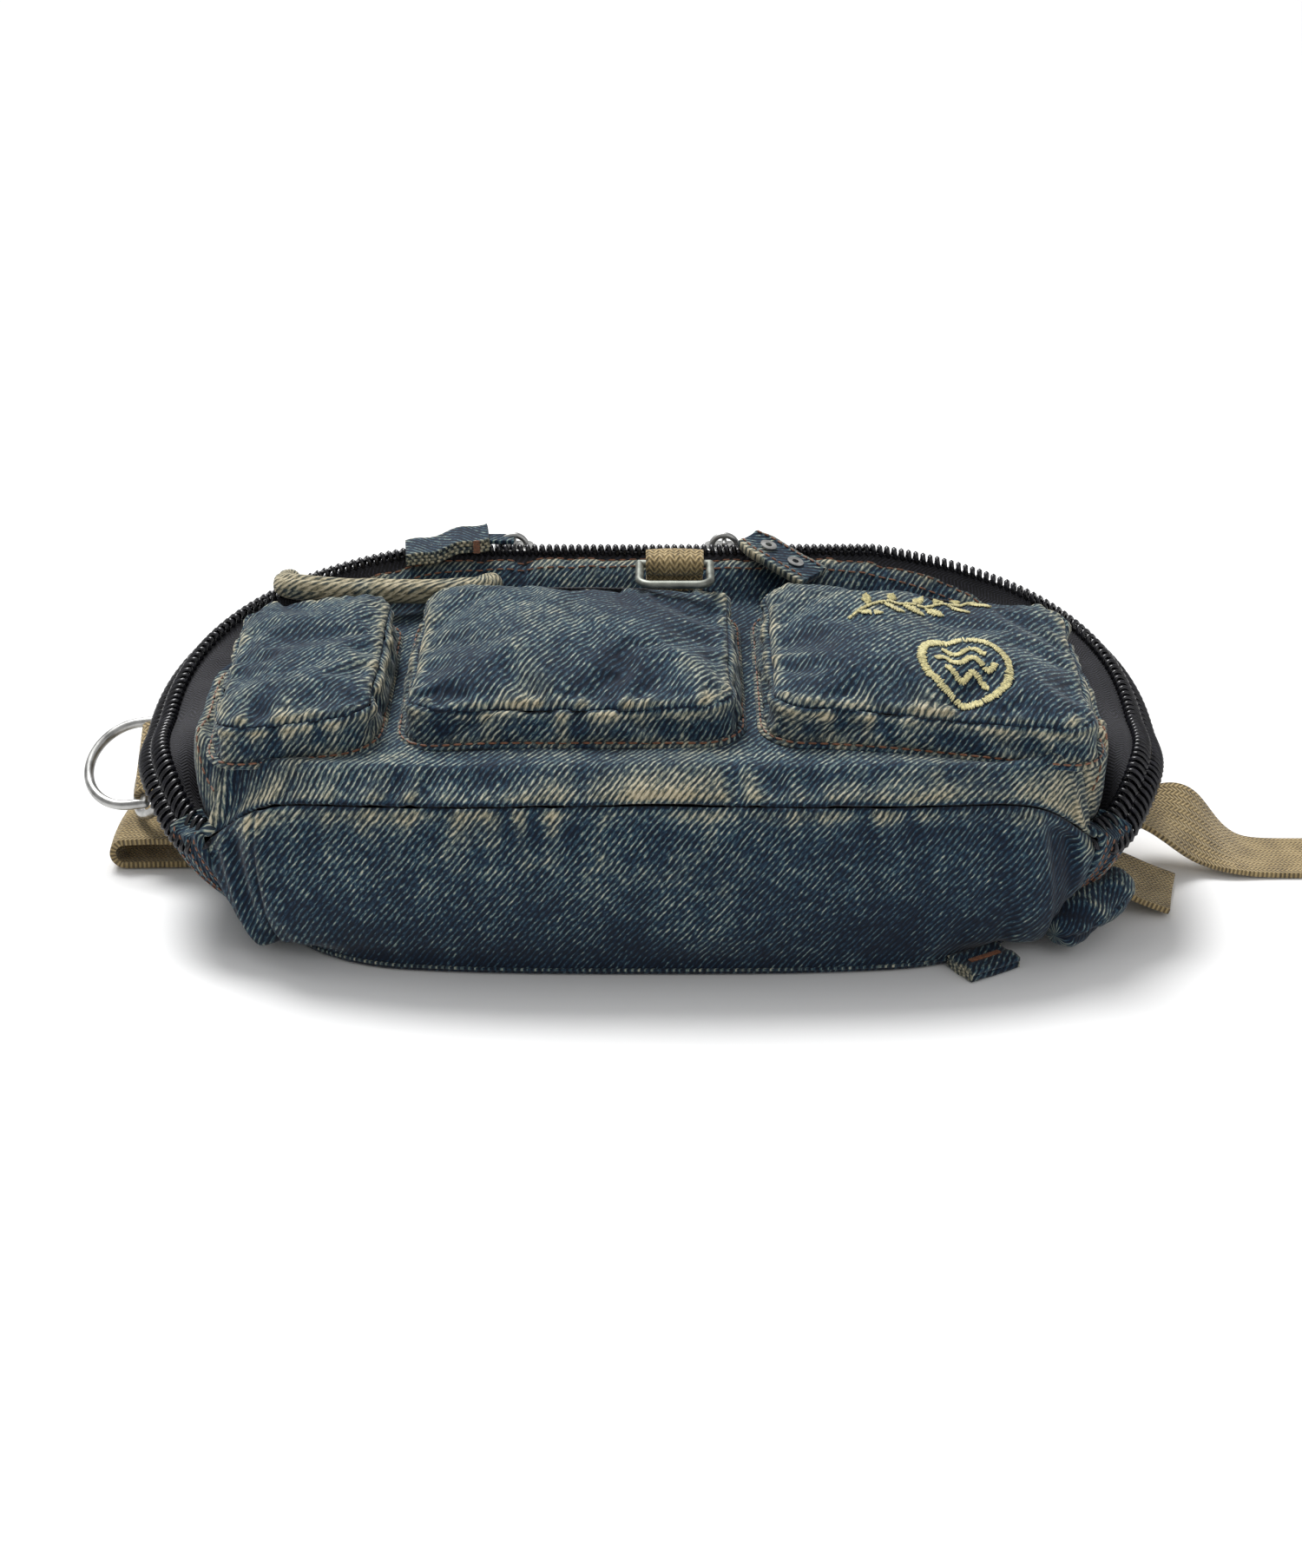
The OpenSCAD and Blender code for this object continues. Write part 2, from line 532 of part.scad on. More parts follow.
// A denim pull hangs on the slider's pin by a folded end, and lies to one side of it at rest.
pull_gap = 0.1;
eye_w = slider_w - 2 * ear_t - 0.8;
eye_wall = 0.8;
pull_yaw_left = 4;
pull_yaw_right = -36;
neck_x = slider_l / 2 + 1;
neck_z = 1.4;
left_path = [[neck_x, neck_z], [16, 1.5], [24, 0.8], [pull_l, 0.9]];
// The right pull falls over the front from here.
fall = 18;
fall_from = [12, 1.6];
function down_the_fall(d) = fall_from + d * [cos(fall), -sin(fall)];
right_path = [[neck_x, neck_z], fall_from, down_the_fall(pull_l - fall_from[0])];
// The pull in its own frame: the pin lies along Y and the denim points to +X.
module pull_body(yaw, path) difference() {
  union() {
    rotate([90, 0, 0]) cylinder(h = eye_w, r = pin_r + pull_gap + eye_wall, center = true, $fn = 48);
    translate([0, eye_w / 2, 0]) rotate([90, 0, 0]) linear_extrude(eye_w)
      strap_outline([[1.2, 0], [neck_x, neck_z], [neck_x + neck_z, neck_z]], 1.6);
    rotate([0, 0, yaw]) translate([0, pull_w / 2, 0]) rotate([90, 0, 0]) linear_extrude(pull_w)
      strap_outline(path, pull_t);
  }
  rotate([90, 0, 0]) cylinder(h = slider_w, r = pin_r + pull_gap, center = true, $fn = 48);
}
module pull_left() color(DENIM) translate([slider_left_x, top_run_y, bridge_z])
  rotate([0, 0, 180]) pull_body(pull_yaw_left, left_path);
eye_hole_r = 1.1;
eye_r = 1.9;
eye_flange_r = 2.7;
eye_flange_t = 0.3;
eyes_at = [5, 16];
module at_eye(i) translate([slider_right_x, top_run_y, bridge_z]) rotate([0, 0, pull_yaw_right])
  translate([down_the_fall(eyes_at[i])[0], 0, down_the_fall(eyes_at[i])[1]]) rotate([0, fall, 0]) children();
module pull_right() color(DENIM) difference() {
  translate([slider_right_x, top_run_y, bridge_z]) pull_body(pull_yaw_right, right_path);
  for (i = [0, 1]) at_eye(i) cylinder(h = 4 * pull_t, r = eye_r, center = true, $fn = 48);
}
module eyelet(i) color(STEEL) at_eye(i) difference() {
  union() {
    cylinder(h = pull_t + 0.6, r = eye_r, center = true, $fn = 48);
    translate([0, 0, pull_t / 2 + 0.3]) cylinder(h = eye_flange_t, r = eye_flange_r, $fn = 48);
  }
  cylinder(h = 4 * pull_t, r = eye_hole_r, center = true, $fn = 48);
}
module eyelet_upper() eyelet(0);
module eyelet_lower() eyelet(1);

back_panel();
gusset_bottom();
gusset_left();
gusset_right();
gusset_top();
zip_tape_back();
zip_coil_back();
zip_end_left();
zip_end_right();
corner_roll_right();
belt_left();
belt_left_tail();
belt_right();
belt_right_fold();
belt_right_roll();
bottom_loop();
front_panel();
zip_tape_front();
zip_coil_front();
pocket_left_gusset();
pocket_left_face();
pocket_left_flange();
pocket_left_zip();
pocket_centre_gusset();
pocket_centre_face();
pocket_centre_flange();
pocket_centre_zip();
pocket_right_gusset();
pocket_right_face();
pocket_right_flange();
pocket_right_zip();
pocket_left_slider();
pocket_centre_slider();
pocket_right_slider();
accessory_loop();
accessory_ring();
grab_handle();
slider_left();
slider_right();
pull_left();
pull_right();
eyelet_upper();
eyelet_lower();
d_ring_outer();
d_ring_inner();
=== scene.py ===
"""Denim waist pack with three cargo pockets: the looks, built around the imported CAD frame.

Shapes are worked out in millimetres, in the frame's own axes, and go into the meshes in metres.
"""

import math

import bpy
import numpy as np
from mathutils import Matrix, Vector
from mathutils.bvhtree import BVHTree


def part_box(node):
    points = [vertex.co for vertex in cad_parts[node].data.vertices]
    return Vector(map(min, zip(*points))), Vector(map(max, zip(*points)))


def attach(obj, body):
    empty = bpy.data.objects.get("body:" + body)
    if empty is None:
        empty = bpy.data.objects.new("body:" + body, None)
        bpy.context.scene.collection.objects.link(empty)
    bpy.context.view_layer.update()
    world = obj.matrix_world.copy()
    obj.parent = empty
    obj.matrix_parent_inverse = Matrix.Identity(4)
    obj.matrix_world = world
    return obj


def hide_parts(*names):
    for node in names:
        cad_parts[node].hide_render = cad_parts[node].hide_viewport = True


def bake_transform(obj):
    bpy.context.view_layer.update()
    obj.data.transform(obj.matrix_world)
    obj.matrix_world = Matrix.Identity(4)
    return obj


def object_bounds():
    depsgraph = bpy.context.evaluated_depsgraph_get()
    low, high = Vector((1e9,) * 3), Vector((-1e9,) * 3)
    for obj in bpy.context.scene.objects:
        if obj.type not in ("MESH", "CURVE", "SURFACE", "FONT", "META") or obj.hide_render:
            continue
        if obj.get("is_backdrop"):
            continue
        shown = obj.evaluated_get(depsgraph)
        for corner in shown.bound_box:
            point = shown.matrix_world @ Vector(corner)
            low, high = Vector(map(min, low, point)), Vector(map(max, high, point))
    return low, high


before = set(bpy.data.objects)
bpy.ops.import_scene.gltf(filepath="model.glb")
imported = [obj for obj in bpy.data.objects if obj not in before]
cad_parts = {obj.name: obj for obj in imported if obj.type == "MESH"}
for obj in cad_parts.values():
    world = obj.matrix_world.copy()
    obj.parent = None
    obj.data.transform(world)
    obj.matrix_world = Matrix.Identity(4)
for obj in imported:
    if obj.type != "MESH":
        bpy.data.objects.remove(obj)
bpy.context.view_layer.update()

MM = 0.001

# ---- Camera, floor and light ----
# A table-top view from the pack's lower edge, a little above it, on a plain pale floor.
def add_object(name, data):
    """A new object in the scene."""
    made = bpy.data.objects.new(name, data)
    bpy.context.scene.collection.objects.link(made)
    return made


camera_distance = 800
camera_elevation = math.radians(25)
aim = Vector((0, 0, 32))

camera_data = bpy.data.cameras.new("camera")
camera_data.lens = 58.5
camera_data.sensor_width = 36
camera = add_object("camera", camera_data)
away = Vector((0, -math.cos(camera_elevation), math.sin(camera_elevation)))
camera.location = (aim + away * camera_distance) * MM
camera.rotation_euler = (math.pi / 2 - camera_elevation, 0, 0)
bpy.context.scene.camera = camera

floor_data = bpy.data.meshes.new("floor")
floor_data.from_pydata([(-3, -3, 0), (3, -3, 0), (3, 3, 0), (-3, 3, 0)], [], [(0, 1, 2, 3)])
floor = add_object("floor", floor_data)
floor.location.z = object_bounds()[0].z
floor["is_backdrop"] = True


def new_material(name, base, roughness, metallic=0.0, sheen=0.0):
    """A principled material with its plain values on the shader's own sockets."""
    material = bpy.data.materials.new(name)
    material.use_nodes = True
    surface = material.node_tree.nodes["Principled BSDF"]
    surface.inputs["Base Color"].default_value = (*base, 1)
    surface.inputs["Roughness"].default_value = roughness
    surface.inputs["Metallic"].default_value = metallic
    surface.inputs["Sheen Weight"].default_value = sheen
    return material


floor_data.materials.append(new_material("floor_white", (0.86, 0.86, 0.86), 0.7))


def area_light(name, place, size, power, colour=(1, 1, 1)):
    """A square soft box that looks at the pack's middle."""
    data = bpy.data.lights.new(name, "AREA")
    data.size = size
    data.energy = power
    data.color = colour
    light = add_object(name, data)
    light.location = place
    light.rotation_euler = (Vector((0, 0, 0.04)) - Vector(place)).to_track_quat("-Z", "Y").to_euler()


area_light("key_light", (-0.35, 0.35, 1.2), 1.0, 7)
area_light("fill_light", (0.8, -1.0, 0.7), 1.0, 3)
sky_light = bpy.data.lights.new("sky_light", "SUN")
sky_light.energy = 2.7
sky_light.angle = math.radians(24)
sky = add_object("sky_light", sky_light)
sky.rotation_euler = (math.radians(-27), math.radians(-16), 0)

world = bpy.data.worlds.new("studio")
world.use_nodes = True
world.node_tree.nodes["Background"].inputs["Color"].default_value = (1, 1, 1, 1)
world.node_tree.nodes["Background"].inputs["Strength"].default_value = 0.42
bpy.context.scene.world = world
bpy.context.scene.view_settings.view_transform = "Standard"

# ---- Front panel ----
# The lid of the pack: washed denim, lined, sewn to the bottom gusset along its lower seam and closed
# by the main zip round the rest. Its seams are gathered, so the cloth beside them puckers.
def box_mm(node):
    """A node's two corners in millimetres."""
    return [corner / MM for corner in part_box(node)]


coil_high = box_mm("zip_coil_back")[1]
half_w = coil_high.x
top_run_y = coil_high.y
half_d = -box_mm("front_panel")[0].y
power_near, power_far = 3, 2.7
rim_climb = 1.4
zip_fade = 5
seam_h, end_h, crest_h = 58, 50, 84
corner_sag, sag_at, sag_width = 17, 32, 13
panel_h, panel_rise = 71, 0.08
climb = 10
droop_depth, droop_from, droop_reach = 8.5, 40, 110
spine_half_w, spine_y = 92, 2
coil_w, tape_w = 5, 9
pocket_y, pocket_l = -6, 88
gather_pitch = 8.5
body_cloth_t = 1.6
twill_slant = -52


def smooth(v):
    """Eases from 0 to 1 as v goes from 0 to 1."""
    c = np.clip(v, 0, 1)
    return c * c * (3 - 2 * c)


def bell(v, width):
    """1 where v is 0, falling away on both sides over width."""
    return np.exp(-(v / width) ** 2)


def signed_power(v, p):
    """v's size raised to p, with v's sign."""
    return np.sign(v) * np.abs(v) ** p


def rim(t, inset):
    """The rim's outline from above: a squared-off ellipse, drawn in by inset, with a straight top run."""
    power = np.where(np.sin(t) < 0, power_near, power_far)
    x = (half_w - inset) * signed_power(np.cos(t), 2 / power)
    y = np.minimum((half_d - inset) * signed_power(np.sin(t), 2 / power), top_run_y - inset)
    return x, y


def below_end(t):
    """Degrees from the pack's nearer end: 0 at the end, 90 at the middle of the bottom seam."""
    return np.degrees(np.arcsin(np.clip(-np.sin(t), 0, 1)))


def zipped(t):
    """1 where the rim is zipped, 0 along the bottom seam."""
    return 1 - smooth((below_end(t) - sag_at) / zip_fade)


def bared(t):
    """How much of the tape shows: all of it at the pack's ends, none along the top or at the zip's ends."""
    above_end = np.degrees(np.arcsin(np.clip(np.sin(t), 0, 1)))
    return (1 - smooth((below_end(t) - 3) / (sag_at - 3))) * (1 - smooth((above_end - 26) / 30))


def rim_z(t):
    """The rim's height: it climbs to the top run, and dips at the two lower corners."""
    b = below_end(t)
    upper = end_h + (crest_h - end_h) * (np.maximum(rim(t, 0)[1], 0) / top_run_y) ** rim_climb
    lower = end_h + (seam_h - end_h) * b / 90 - corner_sag * bell(b - sag_at, sag_width)
    return np.where(np.sin(t) >= 0, upper, lower)


def panel_z(y):
    """Height of the front panel under the pockets."""
    return panel_h + panel_rise * y


def droop(x):
    """How far the panel and its pockets sink towards the pack's two ends."""
    return droop_depth * smooth((np.abs(x) - droop_from) / droop_reach)


def noise(u, v, cell, seed):
    """Random heights from -1 to 1 on a lattice with the given cell, eased between its corners."""
    cell_u, cell_v = cell if isinstance(cell, tuple) else (cell, cell)
    lattice = np.random.default_rng(seed).uniform(-1, 1, (97, 97))
    a, b = u / cell_u + 31.37, v / cell_v + 47.11
    i, j = np.floor(a).astype(int), np.floor(b).astype(int)
    f, g = smooth(a - i), smooth(b - j)

    def at(di, dj):
        return lattice[(i + di) % 97, (j + dj) % 97]
    return (at(0, 0) * (1 - f) + at(1, 0) * f) * (1 - g) + (at(0, 1) * (1 - f) + at(1, 1) * f) * g


def gathers(along, off, pitch, reach, seed):
    """Puckers beside a seam: uneven ridges square to it, about pitch apart, that die out over reach."""
    skew = along + 0.5 * off * noise(along, off * 0, 26, seed + 1)
    ridge = noise(skew, off, (pitch / 2, 40), seed) + 0.4 * noise(skew, off, (pitch / 4, 30), seed + 2)
    strength = 0.55 + 0.45 * noise(along, off * 0, 31, seed + 3)
    return ridge * strength * np.exp(-(np.maximum(off, 0) / reach) ** 1.3)


def unit(rows):
    """Each row of a list of vectors at length 1."""
    return rows / np.maximum(np.linalg.norm(rows, axis=1, keepdims=True), 1e-9)


def lengths_along(path):
    """The running length at each point of a path."""
    return np.concatenate([[0], np.cumsum(np.linalg.norm(np.diff(path, axis=0), axis=1))])


def as_grid(*parts):
    """Rows and columns of points from their coordinates, each stretched over the whole grid."""
    return np.stack(np.broadcast_arrays(*parts), 2)


def normals(points, wrap=False):
    """Outward normals of a grid of points: its column tangent crossed with its row tangent."""
    if wrap:
        across = np.roll(points, -1, 1) - np.roll(points, 1, 1)
    else:
        across = np.gradient(points, axis=1)
    n = np.cross(across, np.gradient(points, axis=0))
    return n / np.maximum(np.linalg.norm(n, axis=2, keepdims=True), 1e-9)


def cloth_patch(name, points, weave, wear_and_shade, material, thick=1.2, wrap=False, close_last=False, lining=None):
    """A sheet of cloth from a grid of points, rows by columns, in millimetres.

    weave is the cloth's own flat coordinates, with one more column than points where the grid wraps.
    wear_and_shade is 1 on rubbed ridges and -1 in creases, seam grooves and folds, where it is painted shade.
    close_last welds the last row onto itself.
    """
    rows, cols = points.shape[:2]
    index = np.arange(rows * cols).reshape(rows, cols)
    last = cols if wrap else cols - 1
    c0, c1 = np.arange(last), (np.arange(last) + 1) % cols
    quads = np.stack([index[:-1][:, c0], index[:-1][:, c1], index[1:][:, c1], index[1:][:, c0]], 2)
    corners = [weave[:-1, :last], weave[:-1, 1:last + 1], weave[1:, 1:last + 1], weave[1:, :last]]
    uv = np.stack(corners, 2).reshape(-1, 2)
    mesh = bpy.data.meshes.new(name)
    mesh.from_pydata(points.reshape(-1, 3) * MM, [], quads.reshape(-1, 4))
    mesh.uv_layers.new(name="weave").data.foreach_set("uv", (uv * MM).ravel().astype(np.float32))
    worn = mesh.attributes.new("wear_and_shade", "FLOAT", "POINT")
    worn.data.foreach_set("value", wear_and_shade.ravel().astype(np.float32))
    mesh.polygons.foreach_set("use_smooth", np.ones(len(mesh.polygons), bool))
    mesh.materials.append(material)
    piece = add_object(name, mesh)
    if close_last:
        weld = piece.modifiers.new("weld", "WELD")
        weld.merge_threshold = 0.02 * MM
    if thick:
        solid = piece.modifiers.new("cloth_thickness", "SOLIDIFY")
        solid.thickness = thick * MM
        solid.offset = -1
        if lining:
            mesh.materials.append(lining)
            solid.material_offset = 1
    return piece


def add_node(tree, kind, settings=None, **sockets):
    """A shader node with its settings made and its named sockets linked or set."""
    made = tree.nodes.new("ShaderNode" + kind)
    for key, value in (settings or {}).items():
        setattr(made, key, value)
    for key, value in sockets.items():
        socket = made.inputs[int(key[1:]) if key[0] == "_" else key.replace("_", " ")]
        if isinstance(value, bpy.types.NodeSocket):
            tree.links.new(value, socket)
        else:
            socket.default_value = value
    return made


def colour_from(tree, colour):
    """Lets a colour socket set the tree's base colour."""
    tree.links.new(colour, tree.nodes["Principled BSDF"].inputs["Base Color"])


def raise_by(tree, height, strength, distance):
    """Raises the surface by a height socket; distance is in millimetres."""
    bump = add_node(tree, "Bump", Strength=strength, Distance=distance * MM, Height=height).outputs["Normal"]
    tree.links.new(bump, tree.nodes["Principled BSDF"].inputs["Normal"])


def weave_in_mm(tree):
    """The cloth's flat coordinates, in millimetres."""
    weave = add_node(tree, "UVMap", {"uv_map": "weave"}).outputs["UV"]
    return add_node(tree, "Mapping", Vector=weave, Scale=(1000, 1000, 1000)).outputs["Vector"]


def maths(tree, operation, a, b=0.0, c=0.0):
    """One Math node."""
    return add_node(tree, "Math", {"operation": operation}, _0=a, _1=b, _2=c).outputs[0]


def ramp(tree, factor, stops):
    """A colour ramp from (place, colour) pairs."""
    made = add_node(tree, "ValToRGB", Fac=factor)
    elements = made.color_ramp.elements
    while len(elements) < len(stops):
        elements.new(0.5)
    for element, (place, colour) in zip(elements, stops):
        element.position = place
        element.color = (*colour, 1)
    return made.outputs["Color"]


def hex_colour(text):
    """Linear colour of a #rrggbb shade."""
    srgb = np.array([int(text[i:i + 2], 16) for i in (1, 3, 5)]) / 255
    return tuple(np.where(srgb <= 0.04045, srgb / 12.92, ((srgb + 0.055) / 1.055) ** 2.4))


def denim(name, lift=0.0, khaki=1.0):
    """Washed twill: dark warp with slanted pale flecks of weft, which open up and yellow where it is worn,
    and darken with painted shade in creases, seam grooves and folds.

    lift makes all of it paler, and khaki is how far its worn parts go to tan.
    """
    material = new_material(name, hex_colour("#2c4560"), 0.86, sheen=0.12)
    tree = material.node_tree
    tree.nodes["Principled BSDF"].inputs["Specular IOR Level"].default_value = 0.22
    weave = add_node(tree, "UVMap", {"uv_map": "weave"}).outputs["UV"]
    slant = add_node(tree, "Mapping", Vector=weave, Scale=(1000, 1000, 1000),
                     Rotation=(0, 0, math.radians(twill_slant))).outputs["Vector"]
    flat = weave_in_mm(tree)
    twill = add_node(tree, "TexWave", {"wave_type": "BANDS", "bands_direction": "Y"}, Vector=slant,
                     Scale=0.195, Distortion=1.5, Detail=2.0, Detail_Scale=1.4).outputs["Fac"]
    stretched = add_node(tree, "Mapping", Vector=slant, Scale=(0.5, 1.7, 1)).outputs["Vector"]
    flecks = add_node(tree, "TexNoise", Vector=stretched, Scale=1.0, Detail=3.0, Roughness=0.6).outputs["Fac"]
    fade = add_node(tree, "TexNoise", Vector=flat, Scale=0.045, Detail=3.0, Roughness=0.55).outputs["Fac"]
    patches = add_node(tree, "TexNoise", Vector=flat, Scale=0.16, Detail=2.0).outputs["Fac"]
    wear_and_shade = add_node(tree, "Attribute", {"attribute_name": "wear_and_shade"}).outputs["Fac"]
    light = maths(tree, "MULTIPLY_ADD", flecks, 2.1, maths(tree, "MULTIPLY_ADD", twill, 0.62, lift - 1.12))
    light = maths(tree, "ADD", light, maths(tree, "MULTIPLY", maths(tree, "SUBTRACT", fade, 0.5), 0.55))
    light = maths(tree, "ADD", light, maths(tree, "MULTIPLY", maths(tree, "SUBTRACT", patches, 0.5), 0.5))
    # The per-point value pales rubbed ridges and darkens creases, seam grooves and folds; the darkening is
    # painted shade.
    light = maths(tree, "ADD", light, maths(tree, "MULTIPLY", wear_and_shade, 0.40))
    blue = ramp(tree, light, [(0.0, hex_colour("#081322")), (0.3, hex_colour("#14283c")),
                              (0.52, hex_colour("#2f4a58")), (0.74, hex_colour("#73857f")),
                              (1.0, hex_colour("#b5b5a4"))])
    tan = ramp(tree, light, [(0.0, hex_colour("#1a1e20")), (0.36, hex_colour("#3d4440")),
                             (0.7, hex_colour("#857d65")), (1.0, hex_colour("#bab096"))])
    rubbed = maths(tree, "MULTIPLY_ADD", wear_and_shade, 0.9, maths(tree, "MULTIPLY_ADD", patches, 0.9, -0.62))
    clamped = {"operation": "MULTIPLY", "use_clamp": True}
    share = add_node(tree, "Math", clamped, _0=rubbed, _1=khaki).outputs[0]
    mixed = add_node(tree, "Mix", {"data_type": "RGBA"}, _0=share, _6=blue, _7=tan).outputs[2]
    colour_from(tree, mixed)
    raise_by(tree, maths(tree, "ADD", maths(tree, "MULTIPLY", twill, 0.5), flecks), 0.55, 0.35)
    return material


denim_cloth = denim("denim")
worn_cloth = denim("worn_denim", lift=0.12, khaki=1.7)


def plain_cotton(name, colour):
    """Thin plain-weave lining: crossed threads, with painted shade between them."""
    material = new_material(name, colour, 0.9)
    tree = material.node_tree
    fine = weave_in_mm(tree)
    warp = add_node(tree, "TexWave", {"bands_direction": "X"}, Vector=fine, Scale=0.5).outputs["Fac"]
    weft = add_node(tree, "TexWave", {"bands_direction": "Y"}, Vector=fine, Scale=0.5).outputs["Fac"]
    threads = maths(tree, "MULTIPLY", warp, weft)
    # Painted shade: the colour darkens between the threads, where the bump sinks.
    dark = tuple(c * 0.55 for c in colour)
    colour_from(tree, ramp(tree, threads, [(0, dark), (0.7, colour)]))
    raise_by(tree, threads, 0.3, 0.2)
    return material


lining_cloth = plain_cotton("lining_cotton", hex_colour("#3a3f45"))

panel_columns, panel_rings = 620, 84
turn = np.radians(np.arange(panel_columns) * 360 / panel_columns - 90)[None, :]
share = np.linspace(0, 1, panel_rings)[:, None]
panel_edge = 0.3 + coil_w * zipped(turn) + tape_w * bared(turn)
edge_x, edge_y = rim(turn, panel_edge)
spine_x = spine_half_w * signed_power(np.cos(turn), 0.7)
panel_x = edge_x + (spine_x - edge_x) * share
panel_y = edge_y + (spine_y - edge_y) * share
rim_x, rim_y = rim(turn, 0)
inset = np.hypot(rim_x - panel_x, rim_y - panel_y)
rise = smooth((inset - climb * zipped(turn)) / climb)
low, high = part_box("pocket_left_flange")[0] / MM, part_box("pocket_right_flange")[1] / MM
outside = np.hypot(np.maximum(np.abs(panel_x) - high.x + 8, 0),
                   np.maximum(np.abs(panel_y - pocket_y) - pocket_l / 2 + 4, 0)) - 8
under_pockets = smooth(1 - outside / 7) * smooth((inset - 3) / 10)
height = rim_z(turn) * (1 - rise) + panel_z(panel_y) * rise
height = np.maximum(height, height * (1 - under_pockets) + (panel_z(panel_y) - 0.6) * under_pockets)
height = height - droop(panel_x) * smooth(inset / 18)
panel = np.stack([panel_x, panel_y, height], 2)
step_x, step_y = np.diff(edge_x, append=edge_x[:, :1]), np.diff(edge_y, append=edge_y[:, :1])
around = np.cumsum(np.hypot(step_x, step_y))[None, :]
from_edge = np.hypot(edge_x - panel_x, edge_y - panel_y)
seam_gathers = gathers(around + from_edge * 0, from_edge, gather_pitch, 13, 11)
soft = noise(panel_x, panel_y, 22, 5)
roll = bell(from_edge - 2.4, 2.2)
free = smooth(from_edge / 5)
lift = 2.1 * seam_gathers * (0.35 + 0.65 * smooth(from_edge / 3)) + 0.9 * soft * free + 1.1 * roll
panel = panel + normals(panel, True) * lift[..., None]
seam_line = bell(from_edge, 0.9)
# Wear and painted shade: paler along the rubbed seam edge and on pucker ridges, darker in the pucker valleys
# and the seam groove, which is painted shade.
panel_wear_and_shade = (0.1 + 0.75 * bell(from_edge, 5) + 0.75 * seam_gathers + 0.3 * soft - 0.9 * seam_line
              + 0.25 * bell(outside, 4))
# The cloth's flat coordinates, unrolled outwards where the panel turns down to its seam.
arc = np.cumsum(np.linalg.norm(np.diff(panel, axis=0, prepend=panel[:1]), axis=2), axis=0)
seen = np.cumsum(np.hypot(np.diff(panel_x, axis=0, prepend=panel_x[:1]),
                          np.diff(panel_y, axis=0, prepend=panel_y[:1])), axis=0)
outwards = np.stack([edge_x - spine_x, edge_y - spine_y], 2)
outwards /= np.linalg.norm(outwards, axis=2, keepdims=True)
weave = np.stack([panel_x, panel_y], 2) + outwards * ((arc[-1] - arc) - (seen[-1] - seen))[..., None]
weave = np.concatenate([weave, weave[:, :1]], 1)
front_panel = cloth_patch("front_panel_denim", panel, weave, panel_wear_and_shade, denim_cloth, body_cloth_t,
                          wrap=True, close_last=True, lining=lining_cloth)
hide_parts("front_panel")


def bend_at_hinge(piece):
    """Cloth on the lid: its transform is baked into its mesh; it is not attached to the pack or bent at the
    bottom seam.
    """
    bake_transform(piece)


bend_at_hinge(front_panel)

# ---- Gussets ----
# The four side walls: denim strips sewn to the back panel below and to the zip or the bottom seam above.
# They draw in towards the back panel, sag a little, and pucker at every seam.
back_t, run_gap = 4, 0.3
back_inset, back_inset_near = 20, 4


def back_edge(t):
    """How far the back panel's edge lies inside the rim."""
    return back_inset + (back_inset_near - back_inset) * smooth((below_end(t) - 28) / 42)


def gusset_point(t, z, depth):
    """A point of the side wall at height z, a depth inside its outer face."""
    share = np.clip(1 - (z - back_t) / (rim_z(t) - back_t), 0, 1)
    x, y = rim(t, back_edge(t) * share ** 1.6 + depth)
    return as_grid(x, y, z)


